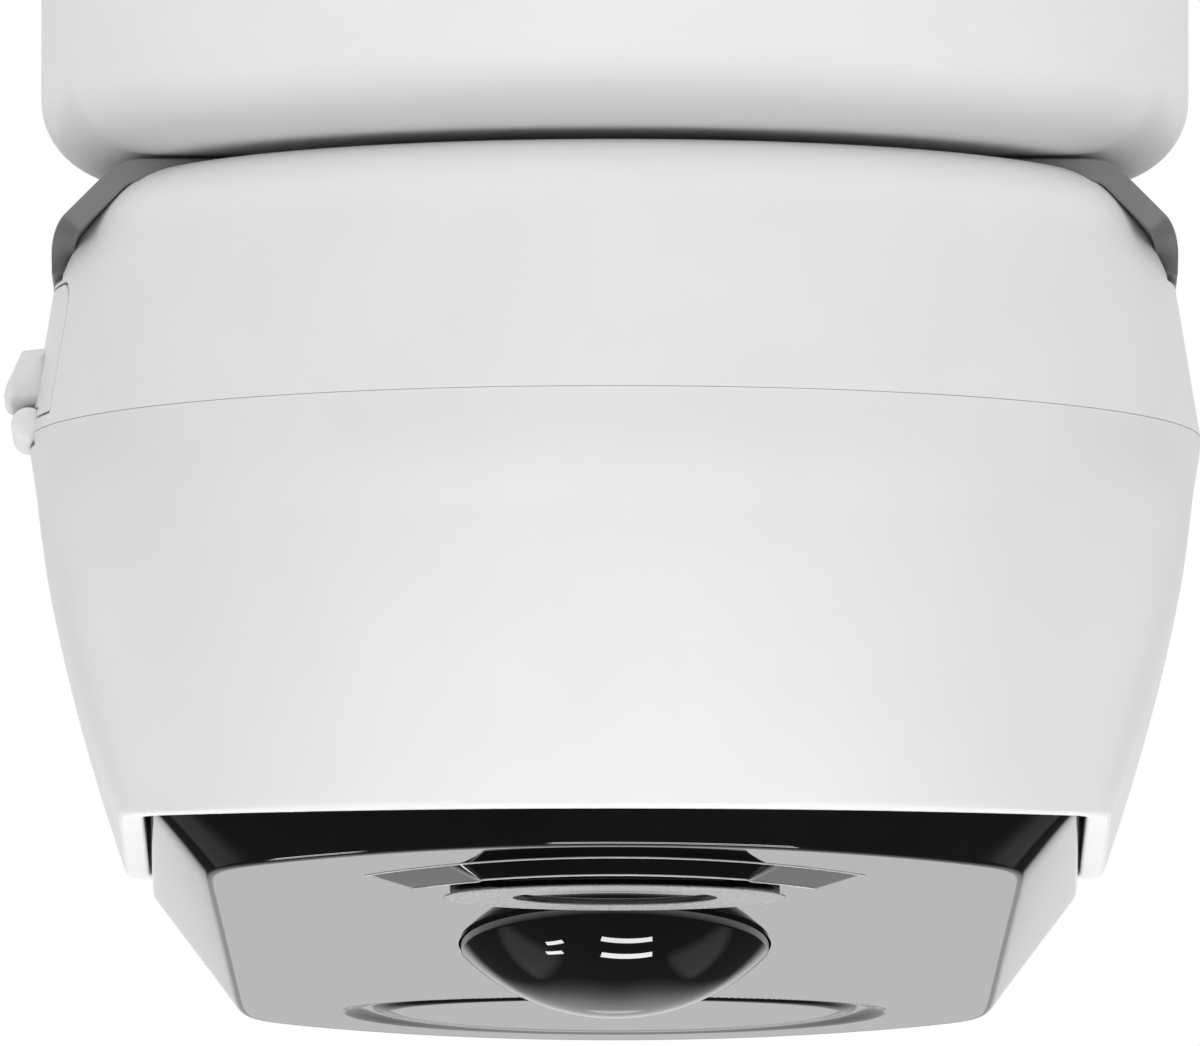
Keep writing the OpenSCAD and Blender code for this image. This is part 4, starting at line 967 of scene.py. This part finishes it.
def makeOval():
    # A black collar, a thin grey ring on it, and a dark window that is slightly domed
    f = front
    face = -f["faceDrop"]
    proud = face - f["ovalProud"]
    top = proud + f["ovalTop"]
    wide = f["ovalOut"][1] - f["ovalIn"][1]
    under, edge, seat = face + f["thick"], f["collarEdge"], f["collarSeat"]
    foot = face - f["collarSunk"]
    collar = fillet([(edge, foot), (edge, top), (wide, top), (wide, under), (seat, under), (seat, foot)],
                    [0, f["collarRound"], f["collarRound"], 0, 0, 0], 4)
    piece = skin("sensorOvalCollar", tilted(ovalRows(collar, wide)), "front", "smokedGloss", sharp=35)
    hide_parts("sensor_ring")
    ring = fillet([(0, top), (0, proud), (wide, proud), (wide, top)],
                  [f["ringFoot"], f["ringRound"], f["ringRound"], f["ringFoot"]], 5)
    piece = skin("sensorOvalRing", tilted(ovalRows(ring, wide)), "front", "ringGrey", sharp=35)
    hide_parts("sensor_ring")
    t = np.linspace(0, 2 * np.pi, 256, endpoint=False)
    sag = np.linspace(0, 1, 20) * np.pi / 2
    rows = np.stack([f["ovalIn"][0] * np.sin(sag)[:, None] * np.cos(t),
                     f["ovalY"] + f["ovalIn"][1] * np.sin(sag)[:, None] * np.sin(t),
                     face - f["ovalWindowProud"] - f["ovalWindowDome"] * np.cos(sag)[:, None] + 0 * t], -1)
    backRing = rows[-1:] + [0, 0, f["thick"] + f["ovalWindowProud"]]
    piece = skin("sensorOvalWindow", tilted(np.concatenate([rows, backRing])), "front", "smokedGloss", roundU=False)
    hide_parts("sensor_window")


def makeDome():
    # A cap of a sphere, whose radius follows from its width and height, on a short upright foot
    f = front
    ball = (f["domeRadius"] ** 2 + f["domeHeight"] ** 2) / (2 * f["domeHeight"])
    a = np.linspace(0, math.asin(f["domeRadius"] / ball), 72)
    shoulder = -f["faceDrop"] - f["domeFoot"]
    cap = np.stack([ball * np.sin(a), shoulder - f["domeHeight"] + ball * (1 - np.cos(a))], 1)
    seat = -f["faceDrop"] + f["lensSeat"]
    side = np.array([[f["domeRadius"], seat], [0, seat]])
    piece = skin("domeLens", tilted(turned(np.vstack([cap, side]), 256)), "front", "domeGlass", roundU=False, sharp=50)
    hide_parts("lens_dome")


def dressNodes():
    # The nodes that stay as packed get the finish of their slot
    slotOf = {s["node"]: s["material_slot"] for s in frame["record"]["subparts"]}
    for name, node in nodes.items():
        node.data.materials.clear()
        node.data.materials.append(bySlot[slotOf[name]])


makeCamera()
makeLights()
makeFloor()
makeBase()
makeBracket()
makeUpperShell()
makeLowerShell()
makeDoor()
makePull()
makeWindow()
makeBrow()
makeOval()
makeDome()
dressNodes()

bpy.context.scene.view_settings.view_transform = "Standard"
print("done")
